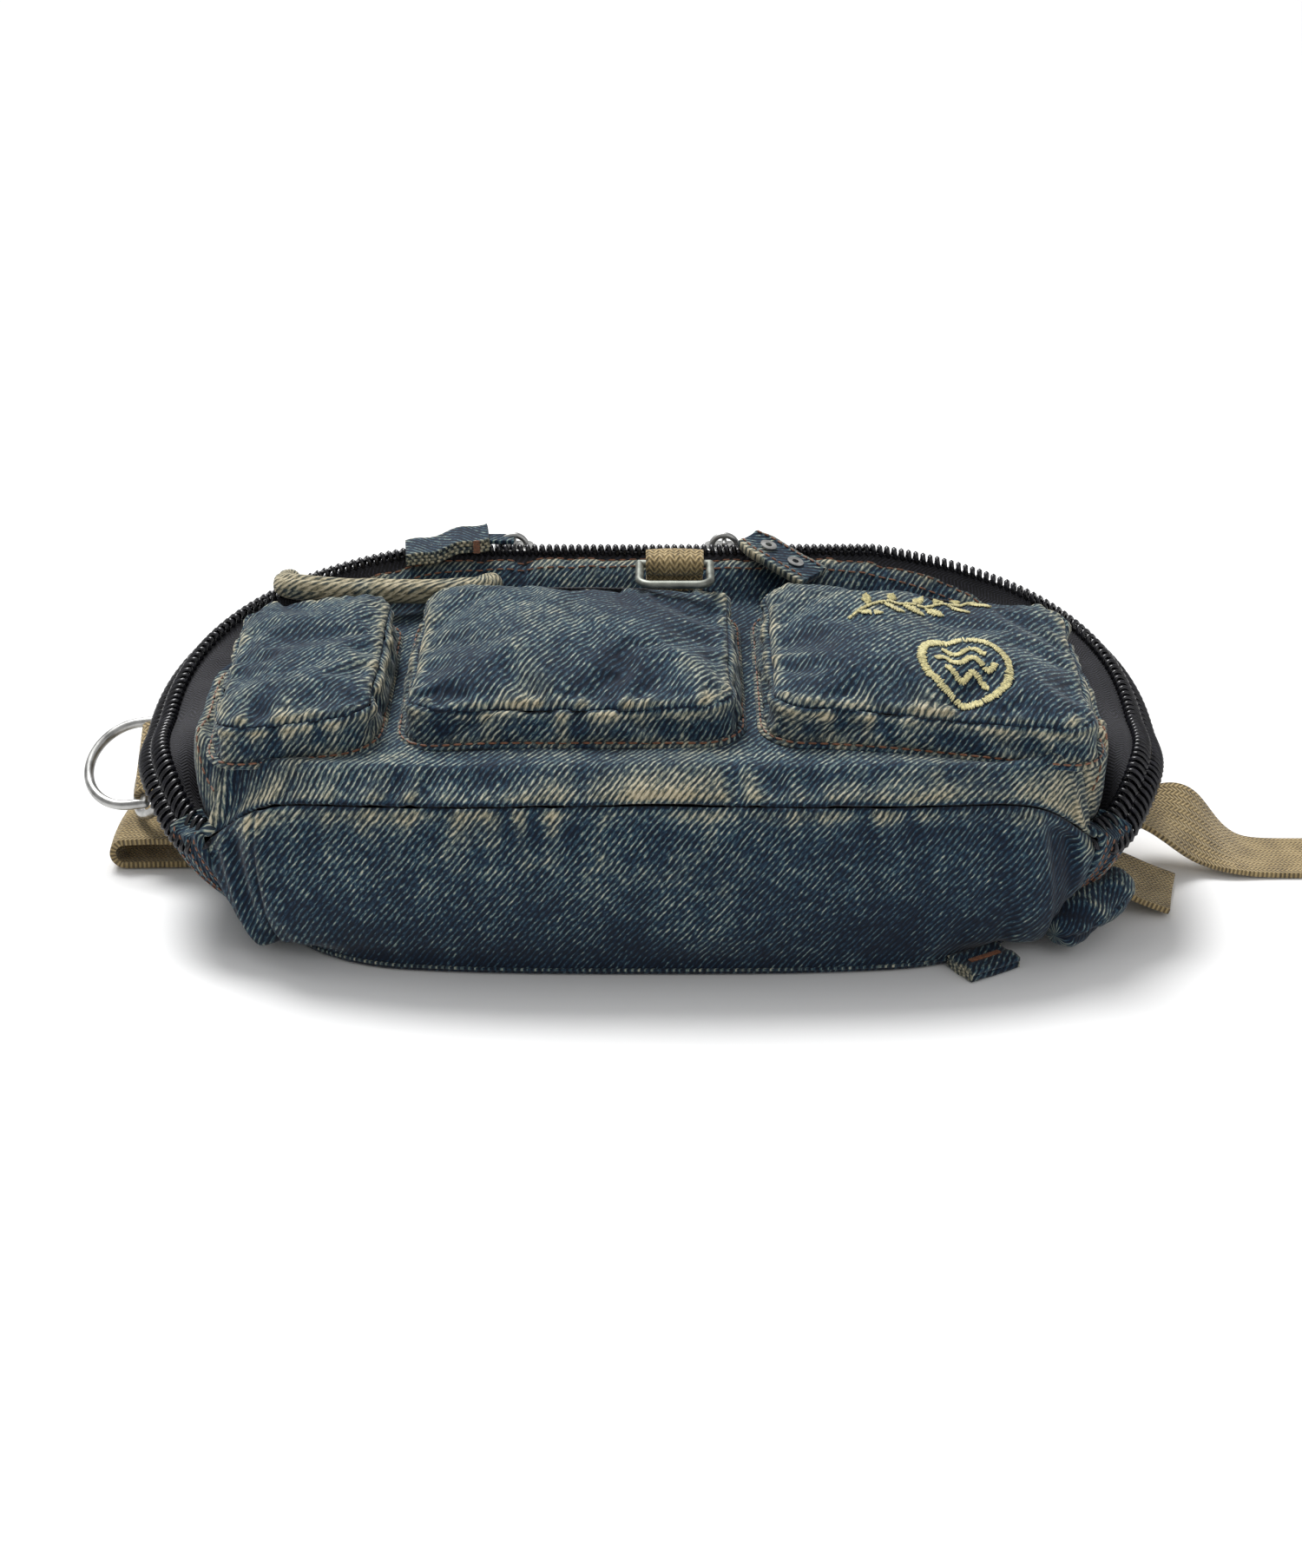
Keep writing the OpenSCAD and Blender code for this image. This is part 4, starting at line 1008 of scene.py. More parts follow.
def webbing(name):
    """Coarse cotton webbing: rows of fat crossed threads with painted shade between them, and soiled in
    patches.
    """
    material = new_material(name, hex_colour("#a8905f"), 0.92, sheen=0.2)
    tree = material.node_tree
    flat = weave_in_mm(tree)
    parts = add_node(tree, "SeparateXYZ", Vector=flat)
    zigzag = maths(tree, "PINGPONG", parts.outputs["Y"], 1.6)
    ribs = maths(tree, "SINE", maths(tree, "MULTIPLY", maths(tree, "ADD", parts.outputs["X"], zigzag), 4.4))
    lanes = maths(tree, "SINE", maths(tree, "MULTIPLY", parts.outputs["Y"], 3.93))
    grain = add_node(tree, "TexNoise", Vector=flat, Scale=2.2, Detail=3.0).outputs["Fac"]
    soil = add_node(tree, "TexNoise", Vector=flat, Scale=0.12, Detail=3.0).outputs["Fac"]
    weave_height = maths(tree, "MULTIPLY_ADD", ribs, 0.45, maths(tree, "MULTIPLY_ADD", lanes, 0.2, grain))
    # The colour follows the weave's height: painted shade between the threads, with soiled patches from the
    # soil noise.
    shade = maths(tree, "MULTIPLY_ADD", weave_height, 0.55, maths(tree, "MULTIPLY_ADD", soil, 0.7, -0.2))
    colour_from(tree, ramp(tree, shade, [(0.0, hex_colour("#4b4130")), (0.35, hex_colour("#8a7751")),
                                         (0.65, hex_colour("#b59e70")), (1.0, hex_colour("#cdbb92"))]))
    raise_by(tree, weave_height, 0.8, 0.5)
    return material


belt_cloth = webbing("belt_webbing")


def eased_path(points, count):
    """A smooth line through a few points: each stretch is a cubic whose slopes come from its neighbours."""
    grid = np.asarray(points, float)[:, None, :]
    times = max(2, math.ceil(count / (len(points) - 1)))
    n = len(grid)
    at = np.arange((n - 1) * times + 1) / times
    i = np.minimum(np.floor(at).astype(int), n - 2)
    f = (at - i)[:, None, None]
    return cubic(*(grid[np.clip(i + k, 0, n - 1)] for k in (-1, 0, 1, 2)), f)[:, 0]


def ribbon(name, path, side, width, material, thick, seed, cup=0.0):
    """Flat webbing along a path, its width along side, a little cupped, with slightly uneven edges."""
    across = np.linspace(-0.5, 0.5, 19)
    run = lengths_along(path)
    side = unit(np.broadcast_to(side, path.shape))
    tangent = unit(np.gradient(path, axis=0))
    up = np.cross(tangent, side)
    uneven = 1 + 0.012 * noise(run[None, :], across[:, None] * 0, 9, seed)
    points = path[None] + side[None] * (across[:, None] * width * uneven)[..., None]
    points = points + up[None] * (cup * (across[:, None] ** 2 * 4 - 0.5) * np.ones_like(run))[..., None]
    flat = as_grid(run[None, :], across[:, None] * width)
    made = cloth_patch(name, points, flat, np.zeros(points.shape[:2]), material, 0)
    solid = made.modifiers.new("webbing_thickness", "SOLIDIFY")
    solid.thickness = thick * MM
    solid.offset = 0
    soft_edge = made.modifiers.new("soft_edge", "BEVEL")
    soft_edge.width = 0.35 * MM
    soft_edge.segments = 2
    soft_edge.limit_method = "ANGLE"
    return made


belt_y, ring_z = 17, 32
belt_roll = math.radians(33)
inner_bar_x = -half_w - 4
outer_bar_x = inner_bar_x - 5.4
loop_r = 1.6 + run_gap + web_t / 2


def in_belt_end(x, z, y=0.0):
    """From the belt end's own axes, rolled so that its near edge is lower, to the pack's."""
    x, y, z = np.broadcast_arrays(x, y, z)
    return np.stack([x, belt_y + y * math.cos(belt_roll) - z * math.sin(belt_roll),
                     ring_z + y * math.sin(belt_roll) + z * math.cos(belt_roll)], -1)


bend = np.radians(np.linspace(90, 270, 9))
loop_x = np.concatenate([[-half_w + 11, -half_w + 5, inner_bar_x + 5.5, inner_bar_x + 1],
                         outer_bar_x + loop_r * np.cos(bend),
                         [inner_bar_x, inner_bar_x + 5, inner_bar_x + 9]])
loop_z = np.concatenate([[15, 13.5, 8.5, loop_r + 0.6], loop_r * np.sin(bend),
                         [-loop_r, 0.2 - loop_r, 2 - loop_r]])
belt_side = in_belt_end(0.0, 0.0, 1.0) - in_belt_end(0.0, 0.0, 0.0)
belt_left = ribbon("belt_left_webbing", eased_path(in_belt_end(loop_x, loop_z), 90), belt_side,
                   belt_w, belt_cloth, web_t, 41)
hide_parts("belt_left")
tail_low, tail_high = box_mm("belt_left_tail")
curl = np.radians(np.linspace(90, 270, 7))
tail_r = 4.2
tail_x = np.concatenate([[inner_bar_x + 6, inner_bar_x - 2], outer_bar_x - 8 + tail_r * np.cos(curl),
                         [outer_bar_x, inner_bar_x + 4, inner_bar_x + 11]])
tail_z = np.concatenate([[9.6, 10.0], 1.2 + tail_r + tail_r * np.sin(curl), [1.2, 1.3, 1.6]])
tail_path = np.stack([tail_x, np.full(len(tail_x), (tail_low.y + tail_high.y) / 2), tail_z], 1)
belt_tail = ribbon("belt_left_tail_webbing", eased_path(tail_path, 80), np.array([0, 1.0, 0]),
                   belt_w, belt_cloth, web_t, 43, cup=0.6)
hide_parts("belt_left_tail")

roll_low, roll_high = box_mm("belt_right_roll")
roll_x, roll_y, roll_z = (roll_low + roll_high) / 2
roll_r = (roll_high.x - roll_low.x) / 2
strap_y = roll_y
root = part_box("belt_right")[0].x / MM
free_run = np.array([[root, 21], [half_w + 2, 19.5], [half_w + 12, 15], [half_w + 24, 8], [half_w + 36, 3],
                     [half_w + 48, 1.2], [roll_x - 12, 1.1]])
free_run = eased_path(np.stack([free_run[:, 0], np.full(7, strap_y), free_run[:, 1]], 1), 70)
spiral_turns = (roll_r - 4.5) / (web_t + 0.12)
spin = np.linspace(0, spiral_turns * 2 * math.pi, 420)
coil_r = roll_r - web_t / 2 - (web_t + 0.12) * spin / (2 * math.pi)
spiral = np.stack([roll_x + coil_r * np.sin(spin), np.full(420, strap_y), roll_z - coil_r * np.cos(spin)], 1)
belt_path = np.concatenate([free_run, spiral])
twist = np.radians(38) * bell(belt_path[:, 0] - half_w - 22, 11) * (np.arange(len(belt_path)) < 90)
belt_side = np.stack([twist * 0, np.cos(twist), np.sin(twist)], 1)
belt_path[:, 2] += np.abs(np.sin(twist)) * 7
belt_right = ribbon("belt_right_webbing", belt_path, belt_side, belt_w, belt_cloth, web_t - 0.1, 45)
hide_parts("belt_right", "belt_right_roll")
fold_low, fold_high = box_mm("belt_right_fold")
fold_path = np.array([[fold_low.x + 1, 0, 11], [half_w - 6, 0, 9.5], [half_w + 4, 0, 5],
                      [half_w + 12, 0, 1.8]])
fold_path[:, 1] = (fold_low.y + fold_high.y) / 2
belt_fold = ribbon("belt_right_fold_webbing", eased_path(fold_path, 30), np.array([0.25, 1.0, 0]),
                   belt_w, belt_cloth, web_t, 47, cup=0.8)
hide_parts("belt_right_fold")
for piece in (belt_left, belt_tail, belt_right, belt_fold):
    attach(piece, "pack")


def worn_steel(name, colour, roughness):
    """Plated wire: brushed marks and dull spots where the plating has rubbed."""
    material = new_material(name, hex_colour(colour), roughness, metallic=1.0)
    tree = material.node_tree
    place = add_node(tree, "TexCoord").outputs["Object"]
    spots = add_node(tree, "TexNoise", Vector=place, Scale=260.0, Detail=4.0).outputs["Fac"]
    marks = add_node(tree, "TexNoise", Vector=place, Scale=1500.0, Detail=2.0).outputs["Fac"]
    base = hex_colour(colour)
    dark, pale = tuple(c * 0.6 for c in base), tuple(min(1, c * 1.25) for c in base)
    colour_from(tree, ramp(tree, spots, [(0.3, dark), (0.55, base), (0.8, pale)]))
    tree.links.new(maths(tree, "MULTIPLY_ADD", spots, 0.45, roughness - 0.2),
                   tree.nodes["Principled BSDF"].inputs["Roughness"])
    raise_by(tree, marks, 0.25, 0.05)
    return material


steel = worn_steel("dull_steel_wire", "#b4b4b2", 0.36)
grey_metal = worn_steel("grey_ring_metal", "#8d9089", 0.5)


def refinish(node, material):
    """Gives a CAD node a better finish through its material slots."""
    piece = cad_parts[node]
    piece.data.materials.clear()
    piece.data.materials.append(material)


for ring in ("d_ring_outer", "d_ring_inner", "eyelet_upper", "eyelet_lower"):
    refinish(ring, steel)
refinish("accessory_ring", grey_metal)

# ---- Back panel ----
# The panel against the wearer: thin foam between denim and lining, bound round its edge, lying flat.
back_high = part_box("back_panel")[1] / MM
back_turn = np.radians(np.arange(360))[None, :]
over_edge = np.linspace(-1, 1, 61)[:, None]
reach = (1 - np.abs(over_edge) ** 4) ** 0.25
edge_bx, edge_by = rim(back_turn, back_edge(back_turn) - 0.4)
mid_x = spine_half_w * signed_power(np.cos(back_turn), 0.7)
back_x = mid_x + (edge_bx - mid_x) * reach
back_y = edge_by * reach
from_rim = np.hypot(edge_bx - back_x, edge_by - back_y)
foam = smooth(from_rim / 7)
quilt = 0.5 * noise(back_x, back_y, 21, 81)
lower = np.where(over_edge < 0, 0.25 + 1.4 * (1 - smooth(from_rim / 3)), 0)
upper = np.where(over_edge >= 0, back_high.z - 1.6 + 1.4 * foam + quilt * foam, 0)
back_z = lower + upper
# Wear and painted shade: paler at the rubbed rim, with the quilting's hollows darkened as painted shade.
back_wear_and_shade = 0.4 * bell(from_rim, 4) + 0.3 * quilt - 0.1
flat = np.stack([back_x, back_y], 2)
flat = np.concatenate([flat, flat[:, :1]], 1)
back_panel = cloth_patch("back_panel_padded", np.stack([back_x, back_y, back_z], 2), flat, back_wear_and_shade,
                         denim_cloth, 0, wrap=True, close_last=True)
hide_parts("back_panel")
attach(back_panel, "pack")


# ---- Rolled corner and lower loop ----
# Loose denim at the right lower corner, rolled under by its own seam, and a small folded loop beside it
# that is bar-tacked in brown.
def rolled_denim(name, start, end, radius, seed):
    """A rolled scrap of denim: a long rounded body with spiral wrinkles, whose ends close to a point."""
    axis = (end - start) / np.linalg.norm(end - start)
    one = np.cross(axis, np.array([0, 0, 1.0]))
    one /= np.linalg.norm(one)
    two = np.cross(one, axis)
    u = np.linspace(0, 1, 64)[:, None]
    t = np.radians(np.linspace(0, 360, 91)[:-1])[None, :]
    size = radius * (1 - np.abs(2 * u - 1) ** 5) ** 0.35
    run = u * np.linalg.norm(end - start)
    wrinkle = noise(run + 4 * t, t * radius, (4.5, 7), seed) + 0.8 * noise(run, t * 0, 9, seed + 1)
    fold = bell(np.sin(t / 2 + u * 0.8), 0.12)
    size = size * (1 + 0.12 * wrinkle - 0.16 * fold)
    body = start + axis * run[..., None]
    points = body + one * (size * np.cos(t))[..., None] + two * (size * np.sin(t))[..., None]
    flat = as_grid(np.radians(np.arange(0, 361, 4))[None, :] * radius, run)
    # Wear and painted shade: the wrinkles' hollows and the fold line along the roll are darkened as painted
    # shade; the ends and wrinkle tops are paler.
    wear_and_shade = 0.5 * wrinkle - 1.2 * fold + 0.5 * bell(np.minimum(u, 1 - u), 0.1)
    return cloth_patch(name, points, flat, wear_and_shade, denim_cloth, 0, wrap=True, close_last=True)


roll_mid, roll_dir, roll_out = against_gusset(322, 10, 9)
half = 17
corner_roll = rolled_denim("corner_roll_denim", roll_mid - roll_dir * (half - 8) + roll_out * 3 - [0, 0, 2],
                           roll_mid + roll_dir * (half + 8) + roll_out + [0, 0, 5], 7, 701)
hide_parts("corner_roll_right")
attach(corner_roll, "pack")

loop_mid, loop_dir, loop_out = against_gusset(303, back_t, 0.1)


def folded_layers(name, middle, along, out, up, width, length, layers, gap, seed, body, wave=0.5):
    """A strip of denim folded to and fro: layers of cloth joined by round bends at their outer ends."""
    steps = np.linspace(0, 1, 26)
    line = []
    for layer in range(layers):
        reach_out = steps if layer % 2 == 0 else steps[::-1]
        line.append(np.stack([reach_out * length, np.full(26, layer * gap) + wave * gap
                              * np.sin(reach_out * 9 + seed) * np.sin(reach_out * math.pi)], 1))
    line = np.concatenate(line)
    line[:, 0] = np.clip(line[:, 0], 0.6, length)
    path = middle + np.outer(line[:, 0], out) + np.outer(line[:, 1], up)
    across = np.linspace(-0.5, 0.5, 15)[:, None]
    points = path[None] + (along * width) * across[..., None]
    run = lengths_along(path)[None, :]
    points = points + up * (0.12 * noise(run + 0 * across, across * width, (3, 4), seed))[..., None]
    edge = (0.5 - np.abs(across)) * width
    wear_and_shade = 0.9 * bell(edge, 1.1) + 0.3 * noise(run + 0 * across, across * width, 5, seed + 1)
    flat = as_grid(run, across * width)
    made = cloth_patch(name, points, flat, wear_and_shade, denim_cloth, 0)
    solid = made.modifiers.new("cloth_thickness", "SOLIDIFY")
    solid.thickness = gap * 0.8 * MM
    solid.offset = 0
    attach(made, body)
    return made


up = np.array([0, 0, 1.0])
bottom_loop = folded_layers("bottom_loop_denim", loop_mid - [0, 0, back_t - 0.7], loop_dir, loop_out, up,
                            18, 12, 4, 0.95, 711, "pack")
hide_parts("bottom_loop")


tack_pitch = 0.42


def bar_tack(name, middle, along, across, up, length, width, body):
    """A dense bar of zigzag thread that holds folded cloth together."""
    count = int(length / tack_pitch)
    at = (np.arange(count) - count / 2) * tack_pitch
    centres = middle + np.outer(at, along) + np.outer(np.resize([0.12, -0.12], count), across)
    lean = across + along * 0.25
    made = spindles(name, centres, np.tile(lean, (count, 1)), np.tile(up, (count, 1)), width, 0.3,
                    rust_thread)
    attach(made, body)


bar_tack("bottom_loop_bar_tack", loop_mid + loop_out * 7 + [0, 0, 0.4], loop_dir, loop_out, up,
         11, 2.2, "pack")

# ---- Pocket zips ----
# Each pocket closes with a fine black coil zip in the upper side of its gusset, with a small slider.
mouth_margin, mouth_z, mouth_h = 15, pocket_h / 2, 5
fine_step, fine_pitch = 0.8, 1.7


def pocket_zip(side):
    """The zip lies on the gusset's own settled surface: a tape and a coil. Its slider, with a stub of pull,
    is made after it in the loop below.
    """
    x, w, skirt = pocket_skirts[side]
    level = skirt.shape[0] // 2
    ring = skirt[level]
    far = ring[:, 1] > ring[:, 1].max() - 4
    order = np.argsort(ring[far][:, 0])
    line = ring[far][order]
    line = line[(line[:, 0] > mouth_margin - w / 2) & (line[:, 0] < w / 2 - mouth_margin)]
    line = resample(line, fine_step)
    line[:, 1] = np.convolve(np.pad(line[:, 1], 6, "edge"), np.ones(13) / 13, "valid") + 0.9
    line[:, 2] = mouth_z
    back = np.array([0, 1.0, 0])
    run = np.arange(len(line)) * fine_step
    across = np.linspace(-0.5, 0.5, 7)[:, None]
    points = line[None] + np.array([0, 0, -1.0]) * (across * mouth_h * 1.1)[..., None]
    points[..., 1] -= 0.9 * (2 * across) ** 2
    flat = as_grid(run[None, :], across * mouth_h)
    woven = cloth_patch(f"pocket_{side}_zip_weave", to_panel(points[::-1], x), flat,
                        np.zeros(points.shape[:2]), tape_cloth, 0.6)
    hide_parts(f"pocket_{side}_zip")
    turns = run[-1] / fine_pitch
    at = np.linspace(0, run[-1], int(turns * 10))
    middle = np.stack([np.interp(at, run, line[:, k]) for k in range(3)], 1)
    angle = at / fine_pitch * 2 * math.pi
    outward = np.outer(np.cos(angle) * 1.6, [0, 0, 1.0]) + np.outer(np.sin(angle) * 0.7, back)
    loops = smooth_tube(f"pocket_{side}_zip_loops", to_panel(middle + outward + back * 0.5, x), outward,
                        0.42, 5, nylon)
    for piece in (woven, loops):
        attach(piece, "front")


def beaded_slab(name, outline, normal, low, high, material, round_edge=0.25):
    """A flat plate with rounded edges: an outline in the plane across normal, from low to high along it."""
    count = len(outline)
    points = np.concatenate([outline + normal * low, outline + normal * high])
    k = np.arange(count)
    n = (k + 1) % count
    sides = np.stack([k, n, n + count, k + count], 1)
    mesh = bpy.data.meshes.new(name)
    mesh.from_pydata(points * MM, [], sides.tolist() + [k[::-1].tolist(), (k + count).tolist()])
    mesh.materials.append(material)
    piece = add_object(name, mesh)
    soft_edge = piece.modifiers.new("soft_edge", "BEVEL")
    soft_edge.width = round_edge * MM
    soft_edge.segments = 3
    soft_edge.limit_method = "ANGLE"
    mesh.polygons.foreach_set("use_smooth", np.ones(len(mesh.polygons), bool))
    return piece


def shield_outline(middle, along, across, length, wide, narrow):
    """A slider plate's outline: wide shoulders in front, rounded, narrowing to its tail."""
    u = np.linspace(0, 2 * math.pi, 41)[:-1]
    reach_along = signed_power(np.cos(u), 0.6) * length / 2
    reach_across = signed_power(np.sin(u), 0.6) * (narrow + (wide - narrow) * (0.5 + 0.5 * np.cos(u))) / 2
    return middle + np.outer(reach_along, along) + np.outer(reach_across, across)


for side in ("left", "centre", "right"):
    pocket_zip(side)
    low, high = box_mm(f"pocket_{side}_slider")
    x, w, skirt = pocket_skirts[side]
    swell = max(0, skirt[skirt.shape[0] // 2, :, 1].max() - pocket_l / 2)
    mid_x = (low.x + high.x) / 2
    middle = np.array([mid_x, low.y + swell * 0.6 + 0.9, (low.z + high.z) / 2 - droop(mid_x)])
    outline = shield_outline(middle, np.array([1.0, 0, 0]), -up, 8.6, 5.2, 3.6)
    plate = beaded_slab(f"pocket_{side}_slider_plate", outline, np.array([0, 1.0, 0]), 0, 1.3, steel)
    outline = shield_outline(middle + [-2.5, 0, -1.2], np.array([0.96, 0, 0.28]), np.array([0.28, 0, -0.96]),
                             9, 2.6, 3.4)
    tag = beaded_slab(f"pocket_{side}_slider_tag", outline, np.array([0, 1.0, 0]), 1.25, 1.85, steel, 0.2)
    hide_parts(f"pocket_{side}_slider")
    for piece in (plate, tag):
        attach(piece, f"pocket_slider_{side}")

# ---- Accessory loop and ring ----
# A short fat webbing loop sewn behind the centre pocket comes over its upper edge and holds a flat grey ring.
loop_low, loop_high = box_mm("accessory_loop")
ring_high = box_mm("accessory_ring")[1]
loop_x = (loop_low.x + loop_high.x) / 2
bar_y, bar_z = ring_high.y - 1.3, ring_high.z - 1.3
loop_bend = np.radians(np.linspace(90, 250, 7))
loop_radius = 1.3 + run_gap + web_t / 2
loop_line = np.array([[loop_high.y - 0.5, loop_low.z + 1.2], [loop_high.y - 4, loop_low.z + 2.6],
                      [loop_high.y - 5, bar_z - 4], [loop_high.y - 5.4, bar_z + 0.8],
                      [bar_y + 2.2, bar_z + 3.0]])
loop_arc = np.stack([bar_y + loop_radius * np.cos(loop_bend), bar_z + loop_radius * np.sin(loop_bend)], 1)
loop_line = np.concatenate([loop_line, loop_arc])
loop_line = eased_path(np.stack([np.full(len(loop_line), loop_x), loop_line[:, 0], loop_line[:, 1]], 1), 60)
accessory_loop = ribbon("accessory_loop_webbing", loop_line, np.array([1.0, 0, 0]),
                        loop_high.x - loop_low.x, belt_cloth, web_t + 0.3, 49, cup=-0.4)
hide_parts("accessory_loop")
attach(accessory_loop, "front")

# ---- Grab handle ----
# A rolled tube of the same denim, worn almost bare, bent back at both ends and sewn in beside the zip.
handle_low, handle_high = box_mm("grab_handle")
handle_r = 4.1
facet = 7.5
bar_y, bar_z = handle_low.y + 4, handle_low.z + 1.2
leg_y, leg_z = handle_high.y - 4.5, bar_z + 0.6
handle_line = np.array([[handle_low.x + 9, leg_y, leg_z - 1], [handle_low.x + 5, bar_y + 3.4, bar_z + 0.4],
                        [handle_low.x + 8.5, bar_y, bar_z], [handle_low.x + 26, bar_y - 1, bar_z - 0.8],
                        [handle_high.x - 32, bar_y - 0.5, bar_z - 1.3],
                        [handle_high.x - 12, bar_y, bar_z - 1.2],
                        [handle_high.x - 5, bar_y + 3.6, bar_z - 0.8], [handle_high.x - 7, leg_y, leg_z - 2]])
handle_line = eased_path(handle_line, 110)
u = np.linspace(0, 1, len(handle_line))
handle_size = handle_r * (1 - np.abs(2 * u - 1) ** 16) ** 0.5 * (1 + 0.05 * noise(u * 90, u * 0, 5, 801))
run = unit(np.gradient(handle_line, axis=0))
one = unit(np.cross(run, [0.01, 0.1, 1.0]))
two = np.cross(run, one)
t = np.radians(np.arange(0, 360, facet))[None, :]
distance = (u * 100)[:, None]
size = handle_size[:, None] * (1 + 0.05 * noise(distance + 3 * t, t * 4, (6, 5), 803)
                               - 0.12 * bell(np.sin(t / 2 + 0.4 + distance * 0.004), 0.1))
points = (handle_line[:, None] + one[:, None] * (size * np.cos(t))[..., None]
          + two[:, None] * (size * np.sin(t))[..., None])
points = points[::-1]
flat = as_grid(np.radians(np.arange(0, 361, facet))[None, :] * 4, distance)
wear_and_shade = 0.85 + 0.35 * noise(distance + 0 * t, t * 4, 8, 804) + 0 * t
handle = cloth_patch("grab_handle_roll", points, flat, wear_and_shade, worn_cloth, 0, wrap=True, close_last=True)
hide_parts("grab_handle")
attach(handle, "handle")

# ---- Main sliders and their denim pulls ----
# Two steel sliders on one chain. The left one has a strip of denim folded in four, seen on its raw edges;
# the right one has a flat denim tab with two eyelets.
pin_below_top = 1.4
pull_w, pull_right_t = 15, 2.8

for side in ("left", "right"):
    low, high = box_mm(f"slider_{side}")
    middle = np.array([(low.x + high.x) / 2, (low.y + high.y) / 2, 0])
    body = f"slider_{side[0]}"
    facing = np.array([1.0 if side == "left" else -1.0, 0, 0])
    across = np.array([0, 1.0, 0]) * facing[0]
    deck = beaded_slab(f"slider_{side}_plate", shield_outline(middle, facing, across, 13, 11.6, 8.2), up,
                       low.z + 0.2, low.z + 1.7, steel, 0.5)
    u = np.linspace(0, math.pi, 13)
    arch = np.stack([middle[0] + 4.2 * np.cos(u), np.full(13, middle[1]), low.z + 1.2 + 4.0 * np.sin(u)], 1)
    bridge = smooth_tube(f"slider_{side}_bridge", arch, np.tile([0, 1.0, 0], (13, 1)), 1.0, 12, steel)
    pin = np.stack([np.full(9, middle[0]), middle[1] + np.linspace(-4.2, 4.2, 9),
                    np.full(9, high.z - pin_below_top)], 1)
    pin = smooth_tube(f"slider_{side}_pin", pin, np.tile([0, 0, 1.0], (9, 1)), 0.9, 14, steel)
    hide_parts(f"slider_{side}")
    for piece in (deck, bridge, pin):
        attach(piece, body)

pull_low, pull_high = box_mm("pull_left")
slider_z = box_mm("slider_left")[1].z - pin_below_top
root = np.array([pull_high.x - 9.5, (pull_low.y + pull_high.y) / 2 + 0.5, slider_z + 0.3])
toward = np.array([-1.0, -0.19, -0.15])
toward /= np.linalg.norm(toward)
pull_left = folded_layers("pull_left_denim", root, np.array([0.1, -1.0, 0]) / 1.005, toward, up, pull_w,
                          root[0] - pull_low.x + 1, 4, 1.05, 721, "pull_l", wave=0.9)
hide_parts("pull_left")
bar_tack("pull_left_bar_tack", root + toward * 4 + [0, -7.6, 1.6], up, toward, np.array([0, -1.0, 0]),
         4.4, 2.6, "pull_l")
neck_line = np.stack([np.linspace(root[0] - 1, pull_high.x - 1.5, 12), np.full(12, root[1]),
                      np.full(12, slider_z + 0.9)], 1)
neck = ribbon("pull_left_neck", neck_line, np.array([0, 1.0, 0]), 7, denim_cloth, 1.4, 723)
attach(neck, "pull_l")

eyes = [sum(box_mm(name), Vector()) / 2 for name in ("eyelet_upper", "eyelet_lower")]
eye_run = np.array(eyes[1] - eyes[0])
eye_step = np.linalg.norm(eye_run)
eye_run /= eye_step
tab_side = np.cross(up, eye_run)
tab_side /= np.linalg.norm(tab_side)
tab_up = np.cross(eye_run, tab_side)
tab_start = np.array(eyes[0]) - eye_run * 8.5
tab_end = np.array(eyes[1]) + eye_run * 7.5
tab_line = tab_start + np.outer(np.linspace(0, 1, 60), tab_end - tab_start)
down_run = np.linspace(0, np.linalg.norm(tab_end - tab_start), 60)[None, :]
across = np.linspace(-0.5, 0.5, 31)[:, None]
tab_width = pull_w * (1 - 0.25 * bell(down_run, 3.5))
points = tab_line[None] + tab_side * (across * tab_width)[..., None]
edge = (0.5 - np.abs(across)) * tab_width
curl = 0.8 * noise(down_run + 0 * across, across * pull_w, (9, 14), 731) * smooth(np.abs(down_run - 14) / 9)
rolled = 0.5 * bell(edge - 1.6, 1.1)
points = points + tab_up * (curl + rolled + 1.0)[..., None]
wear_and_shade = 0.9 * bell(edge, 1.6) + 0.5 * noise(down_run + 0 * across, across * pull_w, 5, 733)
flat = as_grid(down_run, across * pull_w)
pull_right = cloth_patch("pull_right_denim", points, flat, wear_and_shade, denim_cloth, pull_right_t)
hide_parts("pull_right")
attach(pull_right, "pull_r")
surface = normals(points)
for number, column in enumerate((4, 26)):
    row = stitch_row(f"pull_right_topstitch_{number}", points[column] + surface[column] * 0.25,
                     surface[column], rust_thread, 2.6, 2.0, 0.3)
    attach(row, "pull_r")

# ---- Embroidery ----
# Worn satin stitch in pale thread on the right pocket: a round badge with three waves, and a leafy sprig.
embroidery_thread = thread("pale_embroidery", "#c9c08c")
right_face = bpy.data.objects["pocket_right_face_denim"].data
right_surface = BVHTree.FromPolygons([v.co for v in right_face.vertices],
                                     [f.vertices for f in right_face.polygons])
above = 200 * MM
satin_pitch, satin_r, worn_away = 0.46, 0.34, 0.05


def on_right_pocket(path):
    """Points of a flat drawing dropped onto the right pocket, with the cloth's normal there."""
    hits = [right_surface.ray_cast(Vector((x * MM, y * MM, above)), Vector((0, 0, -1)))[:2] for x, y in path]
    return np.array([place for place, _ in hits]) / MM, np.array([normal for _, normal in hits])


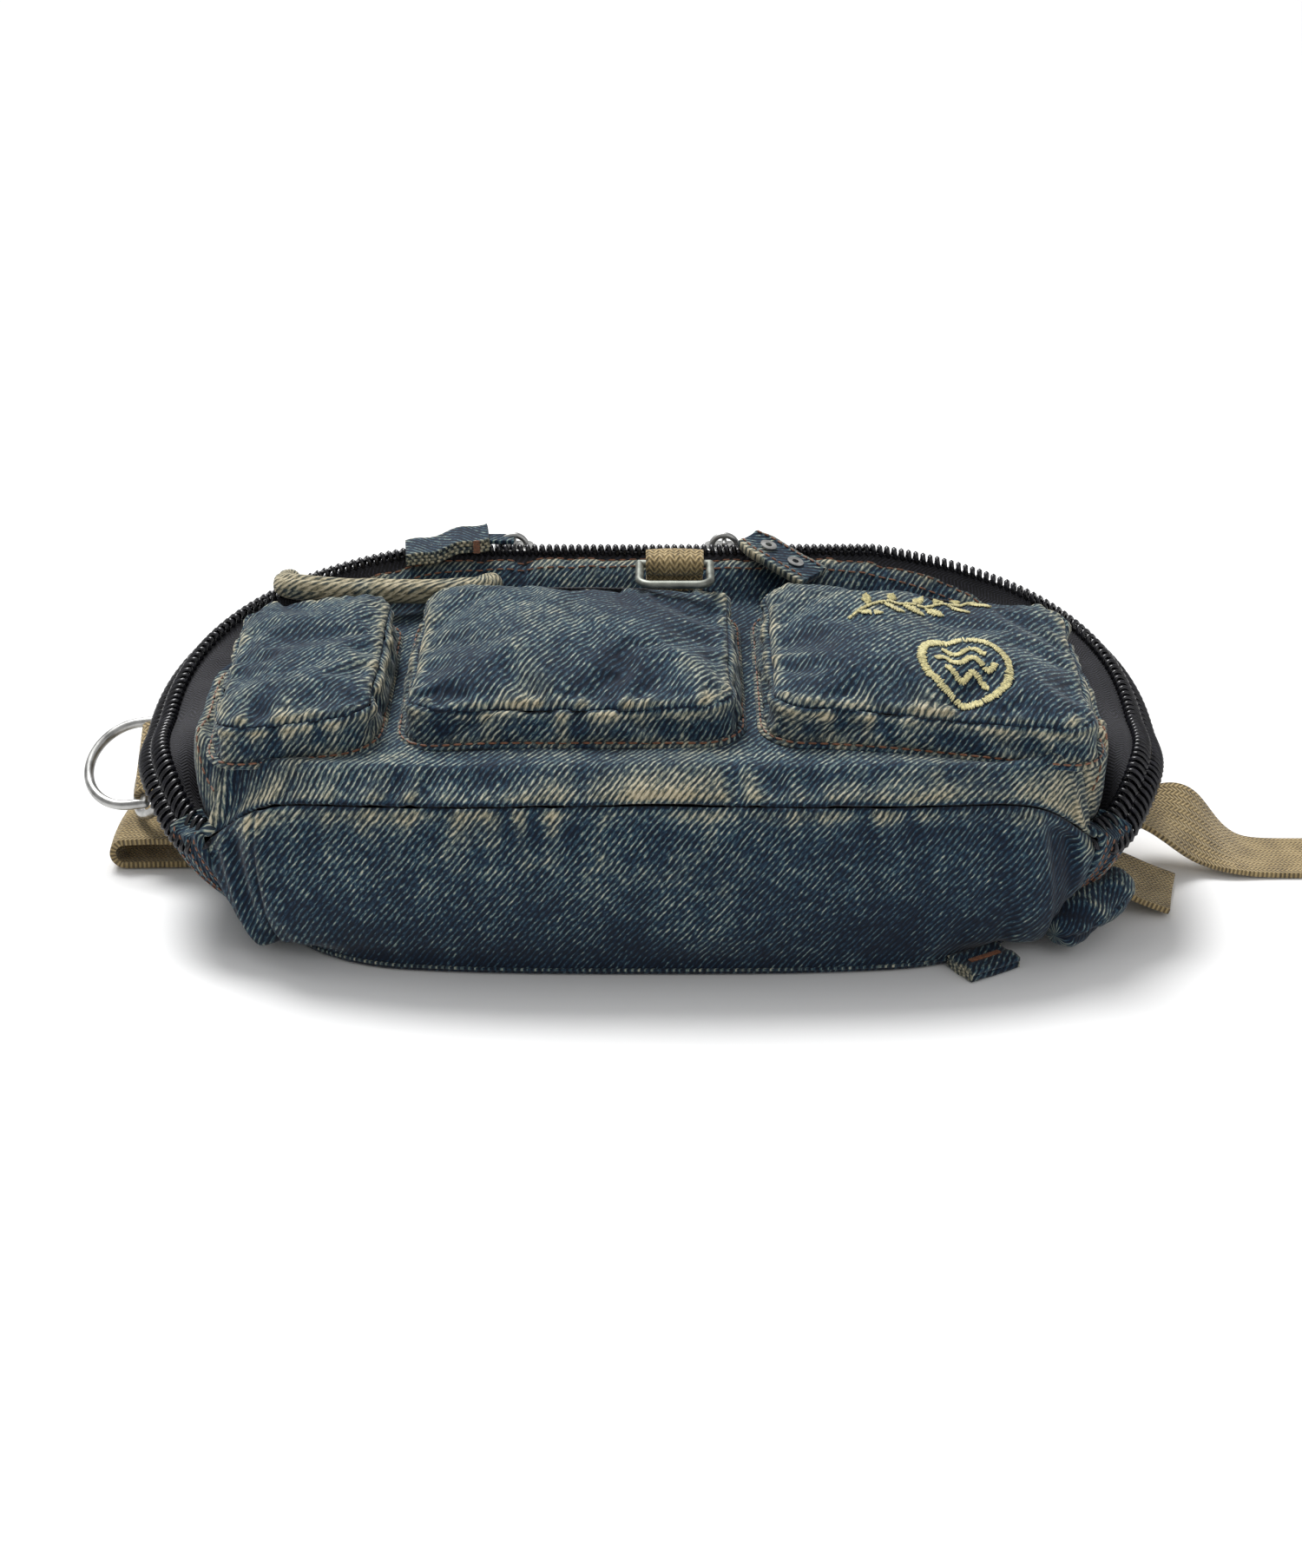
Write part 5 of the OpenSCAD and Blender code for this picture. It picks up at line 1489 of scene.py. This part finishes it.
def satin(name, path, width, seed):
    """Satin stitch along a drawn line: a thread across it every half millimetre, a few of them worn away."""
    line = resample(path, satin_pitch)
    wide = np.interp(np.linspace(0, 1, len(line)), np.linspace(0, 1, len(path)), np.resize(width, len(path)))
    run = unit(np.gradient(line, axis=0))
    places, ups = on_right_pocket(line)
    picks = np.random.default_rng(seed)
    lean = picks.normal(0, 0.16, len(line))
    across = np.stack([-run[:, 1] + run[:, 0] * lean, run[:, 0] + run[:, 1] * lean, np.zeros(len(line))], 1)
    across -= ups * np.sum(across * ups, 1, keepdims=True)
    length = np.maximum(wide, 0.5) * picks.uniform(0.82, 1.15, len(line))
    places = places + ups * 0.45 + across * picks.normal(0, 0.12, len(line))[:, None]
    kept = picks.uniform(0, 1, len(line)) > worn_away
    made = spindles(name, places[kept], across[kept], ups[kept], length[kept][:, None], satin_r,
                    embroidery_thread)
    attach(made, "front")


badge_x, badge_y, badge_r = 93, -27, 13
leaf_length, leaf_w, leaf_lean = 7.2, 3.4, 0.85
round_turn = np.linspace(0, 2 * math.pi, 120)
badge_ring = np.stack([badge_x + badge_r * np.cos(round_turn), badge_y + badge_r * np.sin(round_turn)], 1)
satin("embroidery_badge_ring", badge_ring, 3.0, 901)
for number, (height, reach) in enumerate(((5.5, 6.5), (0, 9), (-5.5, 6.5))):
    u = np.linspace(-1, 1, 50)
    wave = np.stack([badge_x + u * reach, badge_y + height + 1.7 * np.sin(u * reach * 0.75)], 1)
    satin(f"embroidery_badge_wave_{number}", wave, 2.3, 903 + number)
u = np.linspace(0, 1, 80)
stem = np.stack([60 + 44 * u, -3 + 26 * u + 3.2 * np.sin(u * 2 * math.pi)], 1)
satin("embroidery_sprig_stem", stem, 1.3, 911)
stem_run = np.gradient(stem, axis=0)
stem_angle = np.arctan2(stem_run[:, 1], stem_run[:, 0])
for number, share_along in enumerate((0.10, 0.26, 0.42, 0.58, 0.74, 0.90)):
    for hand in (-1, 1):
        at = int((share_along + 0.04 * hand) * 79)
        aim_angle = stem_angle[at] + hand * leaf_lean
        v = np.linspace(0, 1, 30)
        leaf = stem[at] + np.outer(1.0 + v * leaf_length, [math.cos(aim_angle), math.sin(aim_angle)])
        leaf_side = "left" if hand > 0 else "right"
        satin(f"embroidery_sprig_leaf_{number}_{leaf_side}", leaf, leaf_w * np.sin(v * math.pi) ** 0.7,
              921 + 2 * number + (hand > 0))

low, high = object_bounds()
